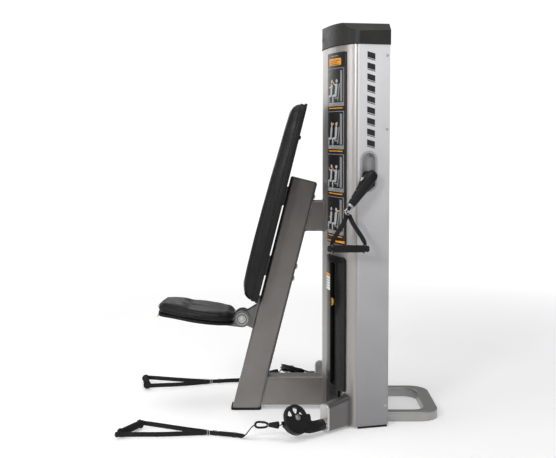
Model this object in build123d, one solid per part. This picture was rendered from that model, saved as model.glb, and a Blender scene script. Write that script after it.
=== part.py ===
from build123d import *
import os
from math import sin, cos, radians, hypot, pi

# Seated dual-cable machine. Millimetres, +Z up, the user faces -Y, X is lateral.
# Origin: on the floor under the centre of the tower.

os.makedirs("parts", exist_ok=True)

# ---------------------------------------------------------------- driving sizes
TOWER_BOTTOM = 10.0
TOWER_TOP = 1739.0
CAP_WALL_TOP = 1798.0
CAP_TOP = 1840.0
CAP_EDGE = ((339.0, 10.0, 1798.0), (302.0, 145.0, 1805.0), (266.0, -53.0, 1840.0))   # plane of the side slope
PANEL = 3.0
# half outline of the bowed front, from the centre to the corner (X, Y)
BOW = [(0, -145.0), (77, -132.5), (165, -112.0), (239, -84.0), (288, -56.0), (321, -27.0), (336, 10.0)]
CORNER = (336.0, 10.0)
REAR_CORNER = (299.0, 145.0)

POST_TILT = 14.2
POST_Y0 = -517.5          # centre line of the post at floor level
POST_DEPTH = 130.0
POST_WIDTH = 100.0
POST_LEN = 1150.0
BEAM_HALF = 42.0
BEAM_Z = (20.0, 162.0)
BRACKET_Z = (872.0, 1018.0)
COVER_X = (124.0, 297.0)     # stack covers and exercise boards, along the bow

PIVOT_Y, PIVOT_Z = -535.5, 445.0      # seat hinge
SEAT_TILT = 7.0

STACK_X = 220.0
STACK_HALF_X = 57.0
STACK_Y = (-54.0, 92.0)
PLATE_T = 25.0
PLATE_PITCH = 25.4
PLATE_Z0 = 170.0
PLATES = 20
PIN_PLATE = 15
ROD_DX = 40.0
ROD_R = 9.0
TOP_PULLEY_R = 45.0
ROD_TOP = 1120.0
TOP_PULLEY_Z = 1600.0
TOP_PULLEY_X = STACK_X - TOP_PULLEY_R     # the cable runs down from the outer side of the pulley

HOOP_H = 44.0
ARM_DIR = (0.646, -0.7633)
ARM_END = (388.0, -146.0)
SWIVEL_Z = 42.0
WHEEL_R = 60.0
WHEEL_S = 152.0           # distance from the arm end to the pulley centre along the arm
WHEEL_OFF = 56.0          # offset of the pulley centre from the swivel axis
LEAN = {"right": 30.0, "left": 62.0}
AXLE_R = 6.0
BORE_R = 6.05
GRIP_R = 16.5
SIDES = (("right", 1.0), ("left", -1.0))


# ---------------------------------------------------------------- helpers
def put(name, *shapes):
    solids = []
    for s in shapes:
        solids.extend(s.solids())
    shape = solids[0] if len(solids) == 1 else Compound(children=solids)
    export_step(shape, "parts/%s.step" % name)
    print(name, len(solids))


def box(x0, x1, y0, y1, z0, z1):
    return Pos((x0 + x1) / 2, (y0 + y1) / 2, (z0 + z1) / 2) * Box(abs(x1 - x0), abs(y1 - y0), abs(z1 - z0))


def cyl(p, q, r):
    p, q = Vector(*p), Vector(*q)
    return Plane(origin=(p + q) * 0.5, z_dir=(q - p)).location * Cylinder(r, (q - p).length)


def ring(p, q, r, r_in):
    p, q = Vector(*p), Vector(*q)
    d = (q - p).normalized()
    return cyl(tuple(p), tuple(q), r) - cyl(tuple(p - d), tuple(q + d), r_in)


def slab(face, z0, z1):
    return Pos(0, 0, z0) * extrude(face, z1 - z0)


def mirror_x(s):
    return mirror(s, about=Plane.YZ)


def bow_points(off):
    """Bow line moved outward by off, running from -X to +X."""
    full = [(-x, y) for x, y in reversed(BOW[1:])] + BOW
    out = []
    for i, (x, y) in enumerate(full):
        a = full[max(i - 1, 0)]
        b = full[min(i + 1, len(full) - 1)]
        tx, ty = b[0] - a[0], b[1] - a[1]
        n = hypot(tx, ty)
        out.append((x + ty / n * off, y - tx / n * off))
    return out


def outline(off):
    """Closed plan face of the tower moved outward by off."""
    pts = bow_points(off)
    (cx, cy), (rx, ry) = CORNER, REAR_CORNER
    ex, ey = rx - cx, ry - cy
    n = hypot(ex, ey)
    nx, ny = ey / n * off, -ex / n * off
    c = (cx + nx, cy + ny)
    r = (rx + nx - ex / n * 0, ry + off)
    pts[0] = (-c[0], c[1])
    pts[-1] = c
    edges = Spline(*pts) + Line(c, r) + Line(r, (-r[0], r[1])) + Line((-r[0], r[1]), pts[0])
    return make_face(edges)


def bow_band(off_out, off_in, x0, x1):
    """Strip of the bow between two offsets and two X limits, as a plan face."""
    strip = outline(off_out) - outline(off_in)
    window = Pos((x0 + x1) / 2, -100) * Rectangle(abs(x1 - x0), 200)
    return strip & window


def post_box(x, p0, p1, t0, t1):
    """Box in the frame of the post: p fore-aft, t along the post."""
    return post_loc() * box(-x, x, p0, p1, t0, t1)


def post_loc():
    return Pos(0, POST_Y0, 0) * Rot(-POST_TILT, 0, 0)


def seat_loc():
    """Seat frame: X lateral, -Y towards the front edge, Z normal to the seat."""
    return Pos(0, PIVOT_Y, PIVOT_Z) * Rot(-SEAT_TILT, 0, 0)


def rounded_rect(w, h, r):
    return RectangleRounded(w, h, r)


def tube_y(half_x, z0, z1, y0, y1, r, wall):
    w, h = 2 * half_x, z1 - z0
    face = RectangleRounded(w, h, r) - RectangleRounded(w - 2 * wall, h - 2 * wall, max(r - wall, 1))
    return Pos(0, y1, (z0 + z1) / 2) * (Rot(90, 0, 0) * extrude(face, y1 - y0))


TOWER_SOLID = slab(outline(0.0), TOWER_BOTTOM - 5, TOWER_TOP)

# ---------------------------------------------------------------- tower skin
front = slab(bow_band(0, -PANEL, -331, 331), TOWER_BOTTOM, TOWER_TOP)
for s in (1, -1):
    front -= box(s * 138, s * 284, -160, -35, 165, 765)       # window of the stack
put("front_panel", front)


def side_panel():
    (cx, cy), (rx, ry) = CORNER, REAR_CORNER
    ex, ey = rx - cx, ry - cy
    n = hypot(ex, ey)
    ux, uy = ex / n, ey / n
    nx, ny = uy, -ux
    a = (cx, cy)
    b = (rx, ry)
    pts = [a, b, (b[0] - 14, b[1]), (b[0] - 14 - 0.8, b[1] - PANEL), (b[0] - nx * PANEL - 1, b[1] - PANEL),
           (a[0] - nx * PANEL, a[1] - ny * PANEL - 0.5), (331.8, -2.0), (334.2, -2.0)]
    return slab(make_face(Polyline(*pts, close=True)), TOWER_BOTTOM, TOWER_TOP)


PX, PY = CORNER[0] - 37.0 * 38.0 / 135.0, 48.0      # middle of the side recess on the panel
PN = (135.0 / hypot(135, 37), 37.0 / hypot(135, 37), 0.0)      # outward normal of the side panel
SIDE_PLANE = Plane(origin=(PX + PN[0] * 0.02, PY + PN[1] * 0.02, 1172), x_dir=(-PN[1], PN[0], 0), z_dir=PN)
recess_cut = SIDE_PLANE.location * (Rot(0, 0, 90) * (Pos(0, 0, -10) * extrude(SlotOverall(172, 69), 20)))
sp = side_panel() - recess_cut
put("side_panel_right", sp)
put("side_panel_left", mirror_x(sp))

rear = box(-283, 283, 145 - PANEL, 145, TOWER_BOTTOM, TOWER_TOP)
rear -= box(-236, -170, 130, 150, 0, 50) + box(170, 236, 130, 150, 0, 50)
put("rear_panel", rear)

# recess cup and rim, both sides
cup = SIDE_PLANE.location * (Rot(0, 0, 90) * (
    Pos(0, 0, -30) * extrude(SlotOverall(170.4, 67.4), 34)
    - Pos(0, 0, -27) * extrude(SlotOverall(165, 62), 40)))
cup += SIDE_PLANE.location * (Rot(0, 0, 90) * (Pos(0, 0, 0) * extrude(SlotOverall(184, 81) - SlotOverall(165, 62), 4)))
cup -= cyl((PX - PN[0] * 40, PY - PN[1] * 40, 1150), (PX + PN[0] * 10, PY + PN[1] * 10, 1150), 15.0)
put("side_recesses", cup, mirror_x(cup))

# cap: same plan as the tower, upper side edges cut by a sloping plane
ca, cb, cc = (Vector(*p) for p in CAP_EDGE)
cn = (cb - ca).cross(cc - ca).normalized()


def above_slope(drop):
    """Everything above the side slope of the cap, lowered by drop; right side."""
    return Plane(origin=ca - cn * drop, z_dir=cn).location * Pos(0, 0, 150) * Box(900, 900, 300)


cap = slab(outline(3.0), TOWER_TOP, CAP_TOP)
hollow = slab(outline(-2.0), 1700, CAP_TOP - 4)
for side in (lambda q: q, mirror_x):
    cap = cap - side(above_slope(0))
    hollow = hollow - side(above_slope(3.5))
cap = cap - hollow
put("top_cap", cap)

feet = []
for s in (1, -1):
    f = make_face(Polyline((334 * s, 4), (299 * s, 141), (280 * s, 141), (310 * s, 4), close=True))
    feet.append(slab(f, 0, TOWER_BOTTOM))
    feet.append(slab(bow_band(-1, -22, s * 60, s * 230), 0, TOWER_BOTTOM))
put("tower_feet", *feet)

# ---------------------------------------------------------------- inner frame
base = slab(outline(-16.0), HOOP_H, HOOP_H + 10)
top = slab(outline(-16.0), TOWER_TOP - 22, TOWER_TOP - 14)
frame = base + top
for s in (1, -1):
    up = box(s * 85, s * 135, 76, 126, HOOP_H + 10, TOWER_TOP - 22)
    up -= box(s * 88, s * 132, 79, 123, HOOP_H + 11, TOWER_TOP - 23)
    frame += up
    frame += box(s * 232, s * 262, -50, 71, HOOP_H - 34, HOOP_H)     # runner under the base plate
    # hanger of the top pulley
    for y in (-16.0, 12.0):
        frame += box(s * (TOP_PULLEY_X - 16), s * (TOP_PULLEY_X + 16), y, y + 4, TOP_PULLEY_Z - 18, TOWER_TOP - 22)
    frame -= cyl((s * TOP_PULLEY_X, -20, TOP_PULLEY_Z), (s * TOP_PULLEY_X, 20, TOP_PULLEY_Z), AXLE_R)
    # cross plate that holds the tops of the guide rods
    frame += box(s * 85, s * 272, -22, 77, ROD_TOP - 12, ROD_TOP - 4)
    frame -= cyl((s * STACK_X, 0, ROD_TOP - 20), (s * STACK_X, 0, ROD_TOP), 11)
    for ox in (-ROD_DX, ROD_DX):
        frame -= cyl((s * STACK_X + ox, 0, HOOP_H + 3), (s * STACK_X + ox, 0, ROD_TOP + 10), ROD_R)
put("tower_frame", frame)

axles = [cyl((s * TOP_PULLEY_X, -18, TOP_PULLEY_Z), (s * TOP_PULLEY_X, 18, TOP_PULLEY_Z), AXLE_R) for s in (1, -1)]
put("top_axles", *axles)
for name, s in SIDES:
    w = cyl((s * TOP_PULLEY_X, -9, TOP_PULLEY_Z), (s * TOP_PULLEY_X, 9, TOP_PULLEY_Z), TOP_PULLEY_R)
    w -= cyl((s * TOP_PULLEY_X, -10, TOP_PULLEY_Z), (s * TOP_PULLEY_X, 10, TOP_PULLEY_Z), BORE_R)
    groove = Pos(s * TOP_PULLEY_X, 0, TOP_PULLEY_Z) * (Rot(90, 0, 0) * Torus(TOP_PULLEY_R, 4.5))
    w -= groove
    for k in range(5):
        a = 2 * pi * k / 5
        w -= cyl((s * TOP_PULLEY_X + 25 * cos(a), -10, TOP_PULLEY_Z + 25 * sin(a)),
                 (s * TOP_PULLEY_X + 25 * cos(a), 10, TOP_PULLEY_Z + 25 * sin(a)), 7)
    put("top_pulley_" + name, w)

rods = []
for s in (1, -1):
    for ox in (-ROD_DX, ROD_DX):
        rods.append(cyl((s * STACK_X + ox, 0, HOOP_H + 3), (s * STACK_X + ox, 0, ROD_TOP), ROD_R))
put("guide_rods", *rods)


def plate(s, i):
    z = PLATE_Z0 + i * PLATE_PITCH
    p = box(s * (STACK_X - STACK_HALF_X), s * (STACK_X + STACK_HALF_X), STACK_Y[0], STACK_Y[1], z, z + PLATE_T)
    for ox in (-ROD_DX, ROD_DX):
        p -= cyl((s * STACK_X + ox, 0, z - 1), (s * STACK_X + ox, 0, z + PLATE_T + 1), ROD_R + 1.0)
    p -= cyl((s * STACK_X, 0, z - 1), (s * STACK_X, 0, z + PLATE_T + 1), 12.5)
    p -= cyl((s * STACK_X, STACK_Y[0] - 1, z + 12.5), (s * STACK_X, 30, z + 12.5), 5.0)
    return p


static = []
for s in (1, -1):
    for i in range(PIN_PLATE):
        static.append(plate(s, i))
put("weight_plates", *static)

PIN_Z = PLATE_Z0 + PIN_PLATE * PLATE_PITCH + 12.5
STACK_TOP = PLATE_Z0 + (PLATES - 1) * PLATE_PITCH + PLATE_T
for name, s in SIDES:
    put("lifted_plates_" + name, *[plate(s, i) for i in range(PIN_PLATE, PLATES)])
    head = box(s * (STACK_X - 54), s * (STACK_X + 54), -30, 30, STACK_TOP + 0.4, STACK_TOP + 26)
    for ox in (-ROD_DX, ROD_DX):
        head -= cyl((s * STACK_X + ox, 0, STACK_TOP - 1), (s * STACK_X + ox, 0, STACK_TOP + 27), ROD_R + 0.05)
    head += cyl((s * STACK_X, 0, PLATE_Z0 + 6), (s * STACK_X, 0, STACK_TOP + 1), 11.5)
    head += cyl((s * STACK_X, 0, STACK_TOP + 25), (s * STACK_X, 0, STACK_TOP + 60), 14)
    for i in range(PLATES):
        z = PLATE_Z0 + i * PLATE_PITCH + 12.5
        head -= cyl((s * STACK_X, -13, z), (s * STACK_X, 13, z), 4.5)
    put("lift_head_" + name, head)
    pin = cyl((s * STACK_X, -96, PIN_Z), (s * STACK_X, 11, PIN_Z), 4.45)
    knob = cyl((s * STACK_X, -118, PIN_Z), (s * STACK_X, -96, PIN_Z), 19)
    knob = fillet(knob.edges(), 4)
    put("selector_pin_" + name, pin + knob)
    # cable from the lift head to the tangent point of the top pulley
    put("lift_cable_" + name, cyl((s * STACK_X, 0, STACK_TOP + 60), (s * STACK_X, 0, TOP_PULLEY_Z), 3))

bump = []
for s in (1, -1):
    for ox in (-ROD_DX, ROD_DX):
        bump.append(ring((s * STACK_X + ox, 0, HOOP_H + 10), (s * STACK_X + ox, 0, PLATE_Z0), 16, ROD_R))
put("stack_bumpers", *bump)

# ---------------------------------------------------------------- shrouds and placards
shrouds = []
cx0, cx1 = COVER_X
for s in (1, -1):
    sh = slab(bow_band(16, 0.5, s * cx0, s * cx1), 60, 778)
    sh = sh - slab(bow_band(12, 0.2, s * (cx0 + 6), s * (cx1 - 6)), 55, 771)
    sh = sh & (Pos(s * (cx0 + cx1) / 2, 100, 419) * (Rot(90, 0, 0) * extrude(RectangleRounded(cx1 - cx0 + 2, 718, 17), 400)))
    sh -= box(s * (STACK_X - 22), s * (STACK_X + 22), -200, -40, 172, 752)       # slot of the selector
    sh -= box(s * 262, s * 310, -200, 0, 50, 160)                                # notch over the floor arm
    shrouds.append(sh)
put("stack_shrouds", *shrouds)

plac = []
for s in (1, -1):
    plac.append(slab(bow_band(6, 0.0, s * cx0, s * cx1), 835, 1710))
put("placards", *plac)

# ---------------------------------------------------------------- seat frame
half_floor = box(-400, 400, -800, 300, -400, 10)
sec = RectangleRounded(POST_WIDTH, POST_DEPTH, 15)
sec_in = RectangleRounded(POST_WIDTH - 10, POST_DEPTH - 10, 10)
post_full = post_loc() * (Pos(0, 0, -40) * extrude(sec, POST_LEN + 40))
post = post_full - (post_loc() * (Pos(0, 0, -41) * extrude(sec_in, POST_LEN + 41 - 6))) - half_floor
put("seat_post", post)
put("post_foot", slab(Pos(0, POST_Y0 + 1) * RectangleRounded(POST_WIDTH + 8, 146, 15), 0, 10))

beam = tube_y(BEAM_HALF, BEAM_Z[0], BEAM_Z[1], -520, -60, 10, 4) - post_full - TOWER_SOLID
brk = tube_y(BEAM_HALF, BRACKET_Z[0], BRACKET_Z[1], -300, -60, 10, 4) - post_full - TOWER_SOLID


def keep_between(shape):
    """Largest solid of a tube after its ends are cut by the post and the tower."""
    return sorted(shape.solids(), key=lambda q: q.volume)[-1]


put("base_beam", keep_between(beam))
put("upper_bracket", keep_between(brk))

# fixed hinge bracket on the front face of the post
gus = make_face(Polyline((-471.5, 392), (-520, 414), (-560, 428), (-566, 445), (-556, 468), (-535, 475), (-505, 483),
                         (-451.5, 517), close=True))
plates_ = []
bk = post_loc() * box(-44, 44, -73, -65, 405, 545)
hb = bk
for s in (1, -1):
    g = Pos(s * 32, 0, 0) * (Plane.YZ.location * Pos(0, 0, -4) * extrude(gus, 8))
    hb += g
hb = hb - post_full
hb -= cyl((-60, PIVOT_Y, PIVOT_Z), (60, PIVOT_Y, PIVOT_Z), 8.0)
hb = sorted(hb.solids(), key=lambda q: q.volume)[-1]
put("hinge_bracket", hb)
pin = cyl((-50, PIVOT_Y, PIVOT_Z), (50, PIVOT_Y, PIVOT_Z), 8.0)
for s in (1, -1):
    pin += Pos(s * 54, PIVOT_Y, PIVOT_Z) * (Rot(0, 90, 0) * extrude(RegularPolygon(13, 6), 4, both=True))
put("hinge_pin", pin)

arm = None
L = seat_loc()
for s in (1, -1):
    c = Pos(s * 43, 0, 0) * (Rot(0, 90, 0) * Cylinder(40, 10))
    c += box(s * 38, s * 48, -150, 0, -40, -24)
    c += box(s * 38, s * 48, -110, -10, -32, -22)
    arm = c if arm is None else arm + c
arm += box(-48, 48, -300, -110, -40, -22)
arm -= box(-37.5, 37.5, -150, 60, -60, 60)
arm -= cyl((-60, 0, 0), (60, 0, 0), 8.05)
put("seat_arm", L * arm)


def seat_outline(grow):
    pts = [(0, -412 - grow), (70, -409 - grow), (104 + grow, -392), (128 + grow, -330), (160 + grow, -240),
           (168 + grow, -175), (158 + grow, -110), (128 + grow, -60), (90, -34 + grow), (0, -30 + grow)]
    full = pts + [(-x, y) for x, y in reversed(pts[1:-1])]
    return make_face(Spline(*full, periodic=True))


put("seat_board", L * (slab(seat_outline(-8), -22, -10) - box(-52, 52, -46, 10, -30, 0)))
pad_s = slab(seat_outline(-3), -9.8, 44) - box(-50, 50, -46, 20, -30, 60)
put("seat_pad", L * pad_s)
lev = box(-16, 16, -408, -352, -29, -25) + box(-16, 16, -412, -406, -46, -25)
lev += Pos(0, -350, -27) * (Rot(0, 90, 0) * Cylinder(5, 32))
put("seat_lever", L * lev)

# back board and pad, in the frame of the post
BACK = [(0, 1510), (60, 1506), (98, 1484), (112, 1440), (126, 1330), (148, 1150), (150, 900), (146, 700), (128, 590),
        (112, 540), (84, 526), (0, 524)]


def back_outline(grow):
    pts = [(x + (grow if x > 20 else 0), y) for x, y in BACK]
    full = pts + [(-x, y) for x, y in reversed(pts[1:-1])]
    return make_face(Spline(*full, periodic=True))


bo = Plane(origin=(0, -74, 0), x_dir=(1, 0, 0), z_dir=(0, -1, 0))
board = bo.location * extrude(back_outline(-6), 12)
put("back_board", post_loc() * board)
prof = make_face(Polyline((-86.2, 532), (-140, 532), (-160, 560), (-163, 700), (-164, 900), (-160, 1150), (-152, 1330),
                          (-140, 1470), (-120, 1502), (-86.2, 1504), close=True))
prof_solid = Plane.YZ.location * Pos(0, 0, -160) * extrude(prof, 320)
pad_full = Plane(origin=(0, -86.2, 0), x_dir=(1, 0, 0), z_dir=(0, -1, 0)).location * extrude(back_outline(-4), 90)
put("back_pad", post_loc() * (pad_full & prof_solid))
mounts = [post_loc() * box(-40, 40, -74, -65, t, t + 90) for t in (660, 1010)]
put("back_mounts", *mounts)

# ---------------------------------------------------------------- rear hoop on the floor
hoop_face = (Pos(0, 170) * RectangleRounded(456, 456, 95)) & (Pos(0, 350) * Rectangle(600, 800))
hoop_in = (Pos(0, 140) * RectangleRounded(356, 390, 62)) & (Pos(0, 350) * Rectangle(600, 800))
hoop = slab(hoop_face, 0, HOOP_H) - slab(hoop_in, -1, HOOP_H + 1) - box(-300, 300, -200, 20, -1, 60)
top_edges = hoop.faces().sort_by(Axis.Z)[-1].edges()
hoop = fillet(top_edges, 7)
put("rear_hoop", hoop)

# ---------------------------------------------------------------- floor arms
dx, dy = ARM_DIR


def arm_frame(s, lean):
    """Frame at the arm end: X along the arm outwards, Z towards the pulley centre."""
    d = Vector(s * dx, dy, 0)
    n = Vector(s * -dy, dx, 0)
    u = n * -sin(radians(lean)) + Vector(0, 0, cos(radians(lean)))
    return Plane(origin=(s * ARM_END[0], ARM_END[1], SWIVEL_Z), x_dir=d, z_dir=u)


def arm_solid():
    """Right arm in its upright frame: x from -190 (inside the tower) to 0."""
    secs = []
    for x, zt in ((-185, 152.0), (0, 130.0)):
        h = zt - 8
        f = RectangleRounded(52, h, 17)
        secs.append(Plane(origin=(x, 0, 8 + h / 2 - SWIVEL_Z), x_dir=(0, 1, 0), z_dir=(1, 0, 0)) * f)
    return loft(secs)


pl = arm_frame(1, 0)
a = pl.location * arm_solid()
a = a - TOWER_SOLID
a = sorted(a.solids(), key=lambda q: q.volume)[-1]
fl = pl.location * box(-120, -70, -33, 33, -34, 118)
put("floor_arms", a, mirror_x(a))

capf = Plane(origin=(0.2, 0, 8 + 61 - SWIVEL_Z), x_dir=(0, 1, 0), z_dir=(1, 0, 0)) * RectangleRounded(55, 124, 18)
ec = extrude(capf, 9)
ec = chamfer(ec.faces().sort_by(Axis.X)[-1].edges(), 2.5)
ec += cyl((9, 0, 0), (16, 0, 0), 21)
ec -= cyl((-5, 0, 0), (30, 0, 0), 9)
ec = pl.location * ec
put("arm_end_caps", ec, mirror_x(ec))

# ---------------------------------------------------------------- floor swivel, pulley, axle
cxw, czw = WHEEL_S, WHEEL_OFF


def swivel():
    body = cyl((16.3, 0, 0), (58, 0, 0), 25)
    body -= cyl((10, 0, 0), (60, 0, 0), 9)
    cheek = make_face(Polyline((44, -25), (92, -20), (cxw + 4, czw - 19), (cxw + 19, czw), (cxw, czw + 20), (cxw - 22, czw + 8),
                               (62, 24), (44, 24), close=True))
    cheek = cheek + (Pos(cxw, czw) * Circle(72) & Pos(cxw - 10, czw - 97) * Rectangle(190, 200))     # lower half of the guard
    for y in (12.5, -16.5):
        body += Pos(0, y + 4, 0) * (Rot(90, 0, 0) * extrude(cheek, 4))
    rim = ring((cxw, -16.5, czw), (cxw, 16.5, czw), 73, 65)
    keep = make_face(Polyline((cxw, czw), (48, -25), (48, -60), (cxw + 90, -60), (cxw + 90, 30), close=True))
    rim = rim & (Pos(0, 20, 0) * (Rot(90, 0, 0) * extrude(keep, 40)))
    body += rim
    body += box(44, 92, -16.5, 16.5, -25, -17)
    body -= cyl((cxw, -13, czw), (cxw, 13, czw), 63)
    body -= cyl((cxw, -20, czw), (cxw, 20, czw), AXLE_R)
    return sorted(body.solids(), key=lambda q: q.volume)[-1]


def wheel(cx, cz, r, half, groove, hole_r, hole_at, n):
    w = cyl((cx, -half, cz), (cx, half, cz), r)
    w -= Pos(cx, 0, cz) * (Rot(90, 0, 0) * Torus(r + 1.5, groove))
    w -= cyl((cx, -half - 1, cz), (cx, half + 1, cz), BORE_R)
    for k in range(n):
        a_ = 2 * pi * k / n
        w -= cyl((cx + hole_at * cos(a_), -half - 1, cz + hole_at * sin(a_)),
                 (cx + hole_at * cos(a_), half + 1, cz + hole_at * sin(a_)), hole_r)
    return w


def hexbolt(p, q, r, head_r, head_h):
    b = cyl(p, q, r)
    p, q = Vector(*p), Vector(*q)
    d = (q - p).normalized()
    for o, z in ((p, d * -1), (q, d)):
        b += Plane(origin=o, z_dir=z).location * extrude(RegularPolygon(head_r, 6), head_h)
    return b


for name, s in SIDES:
    F = arm_frame(s, LEAN[name]).location
    put("floor_swivel_" + name, F * swivel())
    put("floor_pulley_" + name, F * wheel(cxw, czw, WHEEL_R, 10, 5.0, 9.5, 37, 6))
    put("floor_axle_" + name, F * hexbolt((cxw, -16.6, czw), (cxw, 16.6, czw), AXLE_R, 10, 5))

# ---------------------------------------------------------------- floor handles
HOOK = {"right": (482.0, -352.0, 66.0), "left": (-474.0, -364.0, 48.0)}
CLIP = {"right": (478.0, -444.0, 66.0), "left": (-462.0, -456.0, 46.0)}
LAND = {"right": (468.0, -513.0, 13.0), "left": (-440.0, -520.0, 13.0)}
SPLIT = {"right": (420.0, -690.0, 13.0), "left": (-404.0, -746.0, 13.0)}
GRIP_A = {"right": (455.0, -1054.0, 22.0), "left": (-306.0, -1050.0, 22.0)}
GRIP_B = {"right": (328.0, -985.0, 22.0), "left": (-443.0, -1079.0, 22.0)}


def strip(points, width, thick, lateral):
    """Flat strap through points; width along lateral."""
    out = None
    lat = Vector(*lateral).normalized()
    for p, q in zip(points[:-1], points[1:]):
        p, q = Vector(*p), Vector(*q)
        d = q - p
        nrm = d.cross(lat).normalized()
        l2 = nrm.cross(d.normalized()).normalized()
        b = Plane(origin=(p + q) * 0.5, x_dir=d.normalized(), z_dir=nrm).location * Box(d.length + thick * 0.6, width, thick)
        out = b if out is None else out + b
    return out


for name, s in SIDES:
    h, c, l, sp_, ga, gb = HOOK[name], CLIP[name], LAND[name], SPLIT[name], GRIP_A[name], GRIP_B[name]
    hv, cv, gav, gbv = Vector(*h), Vector(*c), Vector(*ga), Vector(*gb)
    d = (cv - hv).normalized()
    hook = Plane(origin=hv + d * 24, z_dir=d).location * Cone(16, 8, 48)          # rubber cable stop
    e0, e1 = hv + d * 45, cv + d * 14
    lat = d.cross(Vector(0, 0, 1)).normalized()
    for o in (lat * 11, lat * -11):
        hook += cyl(tuple(e0 + o), tuple(e1 + o), 4)
    hook += cyl(tuple(e0 + lat * 12), tuple(e0 - lat * 12), 4)
    hook += cyl(tuple(e1 + lat * 12), tuple(e1 - lat * 12), 4)
    put("floor_hook_" + name, hook)
    e1b = e1 + d * 8.2
    spv = Vector(*sp_)
    m = (gbv - gav).normalized()
    run = (spv - Vector(*l)).normalized()
    side = run.cross(Vector(0, 0, 1)).normalized()
    if side.dot(m) < 0:
        side = side * -1
    ends_, starts_ = [], []
    for e, inw, o in ((gav, m, -8.0), (gbv, m * -1, 8.0)):
        st = spv + side * o
        leg = (st - e).normalized()
        along, across = leg.dot(inw), (leg - inw * leg.dot(inw)).length
        ends_.append(e - inw * max(14.0, along / across * 28 + 8))
        starts_.append(st)
    drop = strip([tuple(e1b), l], 22, 5, (1, 0, 0))
    lay = Plane(origin=(spv + Vector(*l)) * 0.5 - run * 3, x_dir=run, z_dir=(0, 0, 1)).location * Box((spv - Vector(*l)).length + 4, 7, 22)
    buckle = Plane(origin=spv, x_dir=run, z_dir=(0, 0, 1)).location * Box(24, 16, 24)
    strap = drop + lay + (Pos(*l) * Box(24, 10, 22)) + buckle
    for st, e in zip(starts_, ends_):
        strap += strip([tuple(st), tuple(e)], 22, 4, (0, 0, 1))
    strap += cyl(tuple(ends_[0]), tuple(ends_[1]), AXLE_R)
    for p in ends_:
        strap += Pos(*tuple(p)) * Box(15, 15, 23)
    put("floor_strap_" + name, strap)
    g = cyl(ga, gb, GRIP_R)
    g += cyl(ga, tuple(gav + m * 7), 20) + cyl(tuple(gbv - m * 7), gb, 20)
    g -= cyl(tuple(gav - m * 5), tuple(gbv + m * 5), BORE_R)
    put("floor_grip_" + name, g)

# ---------------------------------------------------------------- side swivels and handles
MN = Vector(*PN)
HUB0 = Vector(PX, PY, 1150)
HUBC = HUB0 + MN * 30
NOSE = Vector(420, -44, 1017)
MD = (NOSE - HUBC).normalized()
MW = MN.cross(MD).normalized()
MLEN = (NOSE - HUBC).length
MP = Plane(origin=HUBC, x_dir=MD, z_dir=MW)


def mid_swivel():
    tear = make_face(Polyline((-26, 10), (-18, 24), (0, 31), (24, 31), (70, 26), (MLEN - 30, 17), (MLEN - 10, 14),
                              (MLEN - 10, -14), (MLEN - 30, -17), (70, -26), (24, -31), (0, -31), (-18, -24), (-26, -10),
                              close=True))
    b = Pos(0, 0, -19) * extrude(tear, 38)
    b = chamfer(b.faces().filter_by(Axis.Z).edges(), 6)
    b -= Pos(100, 0, 0) * box(-50, 80, -6, 6, -6, 6)
    b = MP.location * b
    hub = cyl(tuple(HUB0 - MN * 26), tuple(HUBC), 14.5)
    flange = cyl(tuple(HUB0 - MN * 20), tuple(HUB0 + MN * 8), 24)
    out = b + hub + (flange & cyl(tuple(HUB0 - MN * 20), tuple(HUB0 + MN * 30), 24))
    cav = MP.location * (Pos(38, 0, 0) * Cylinder(27, 16))
    out -= cav
    out += MP.location * (Pos(38, 0, 0) * Cylinder(AXLE_R, 37))
    return sorted(out.solids(), key=lambda q: q.volume)[-1]


ms = mid_swivel()
mw = Pos(38, 0, 0) * (Cylinder(25, 14) - Cylinder(BORE_R, 20) - Torus(26, 4))
mw = MP.location * mw
put("side_swivel_right", ms)
put("side_swivel_left", mirror_x(ms))
put("side_pulley_right", mw)
put("side_pulley_left", mirror_x(mw))

# handle: ring under the nose, two webbing legs, grip across
RC = Vector(424, -50, 1000)
rg = Pos(*RC) * (Rot(0, 90, 0) * Torus(13, 3))
ends = (Vector(430, -134, 836), Vector(430, 37, 836))
hs = rg
low = RC + Vector(1, 0, -12)
for e, oy in zip(ends, (-5, 5)):
    top_, bot_ = Vector(low.X, low.Y + oy, low.Z), Vector(e.X, e.Y, e.Z)
    knee = bot_ + (top_ - bot_) * (42.0 / (top_ - bot_).length)
    hs += strip([tuple(top_), tuple(knee)], 18, 3, tuple((bot_ - top_).cross(Vector(1, 0, 0))))
    hs += strip([tuple(knee), tuple(bot_)], 24, 3, (1, 0, 0))
hs += Pos(*low) * Box(25, 18, 12)
hs += cyl(tuple(ends[0]), tuple(ends[1]), AXLE_R)
for e in ends:
    hs += Pos(*e) * Box(25, 13, 14)
gr = cyl((430, -118, 836), (430, 23, 836), GRIP_R) + cyl((430, -118, 836), (430, -111, 836), 20) + cyl((430, 16, 836), (430, 23, 836), 20)
gr -= cyl((430, -125, 836), (430, 30, 836), BORE_R)
put("side_strap_right", hs)
put("side_strap_left", mirror_x(hs))
put("side_grip_right", gr)
put("side_grip_left", mirror_x(gr))
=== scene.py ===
import bpy, bmesh, math
from mathutils import Vector, Matrix, noise


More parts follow.
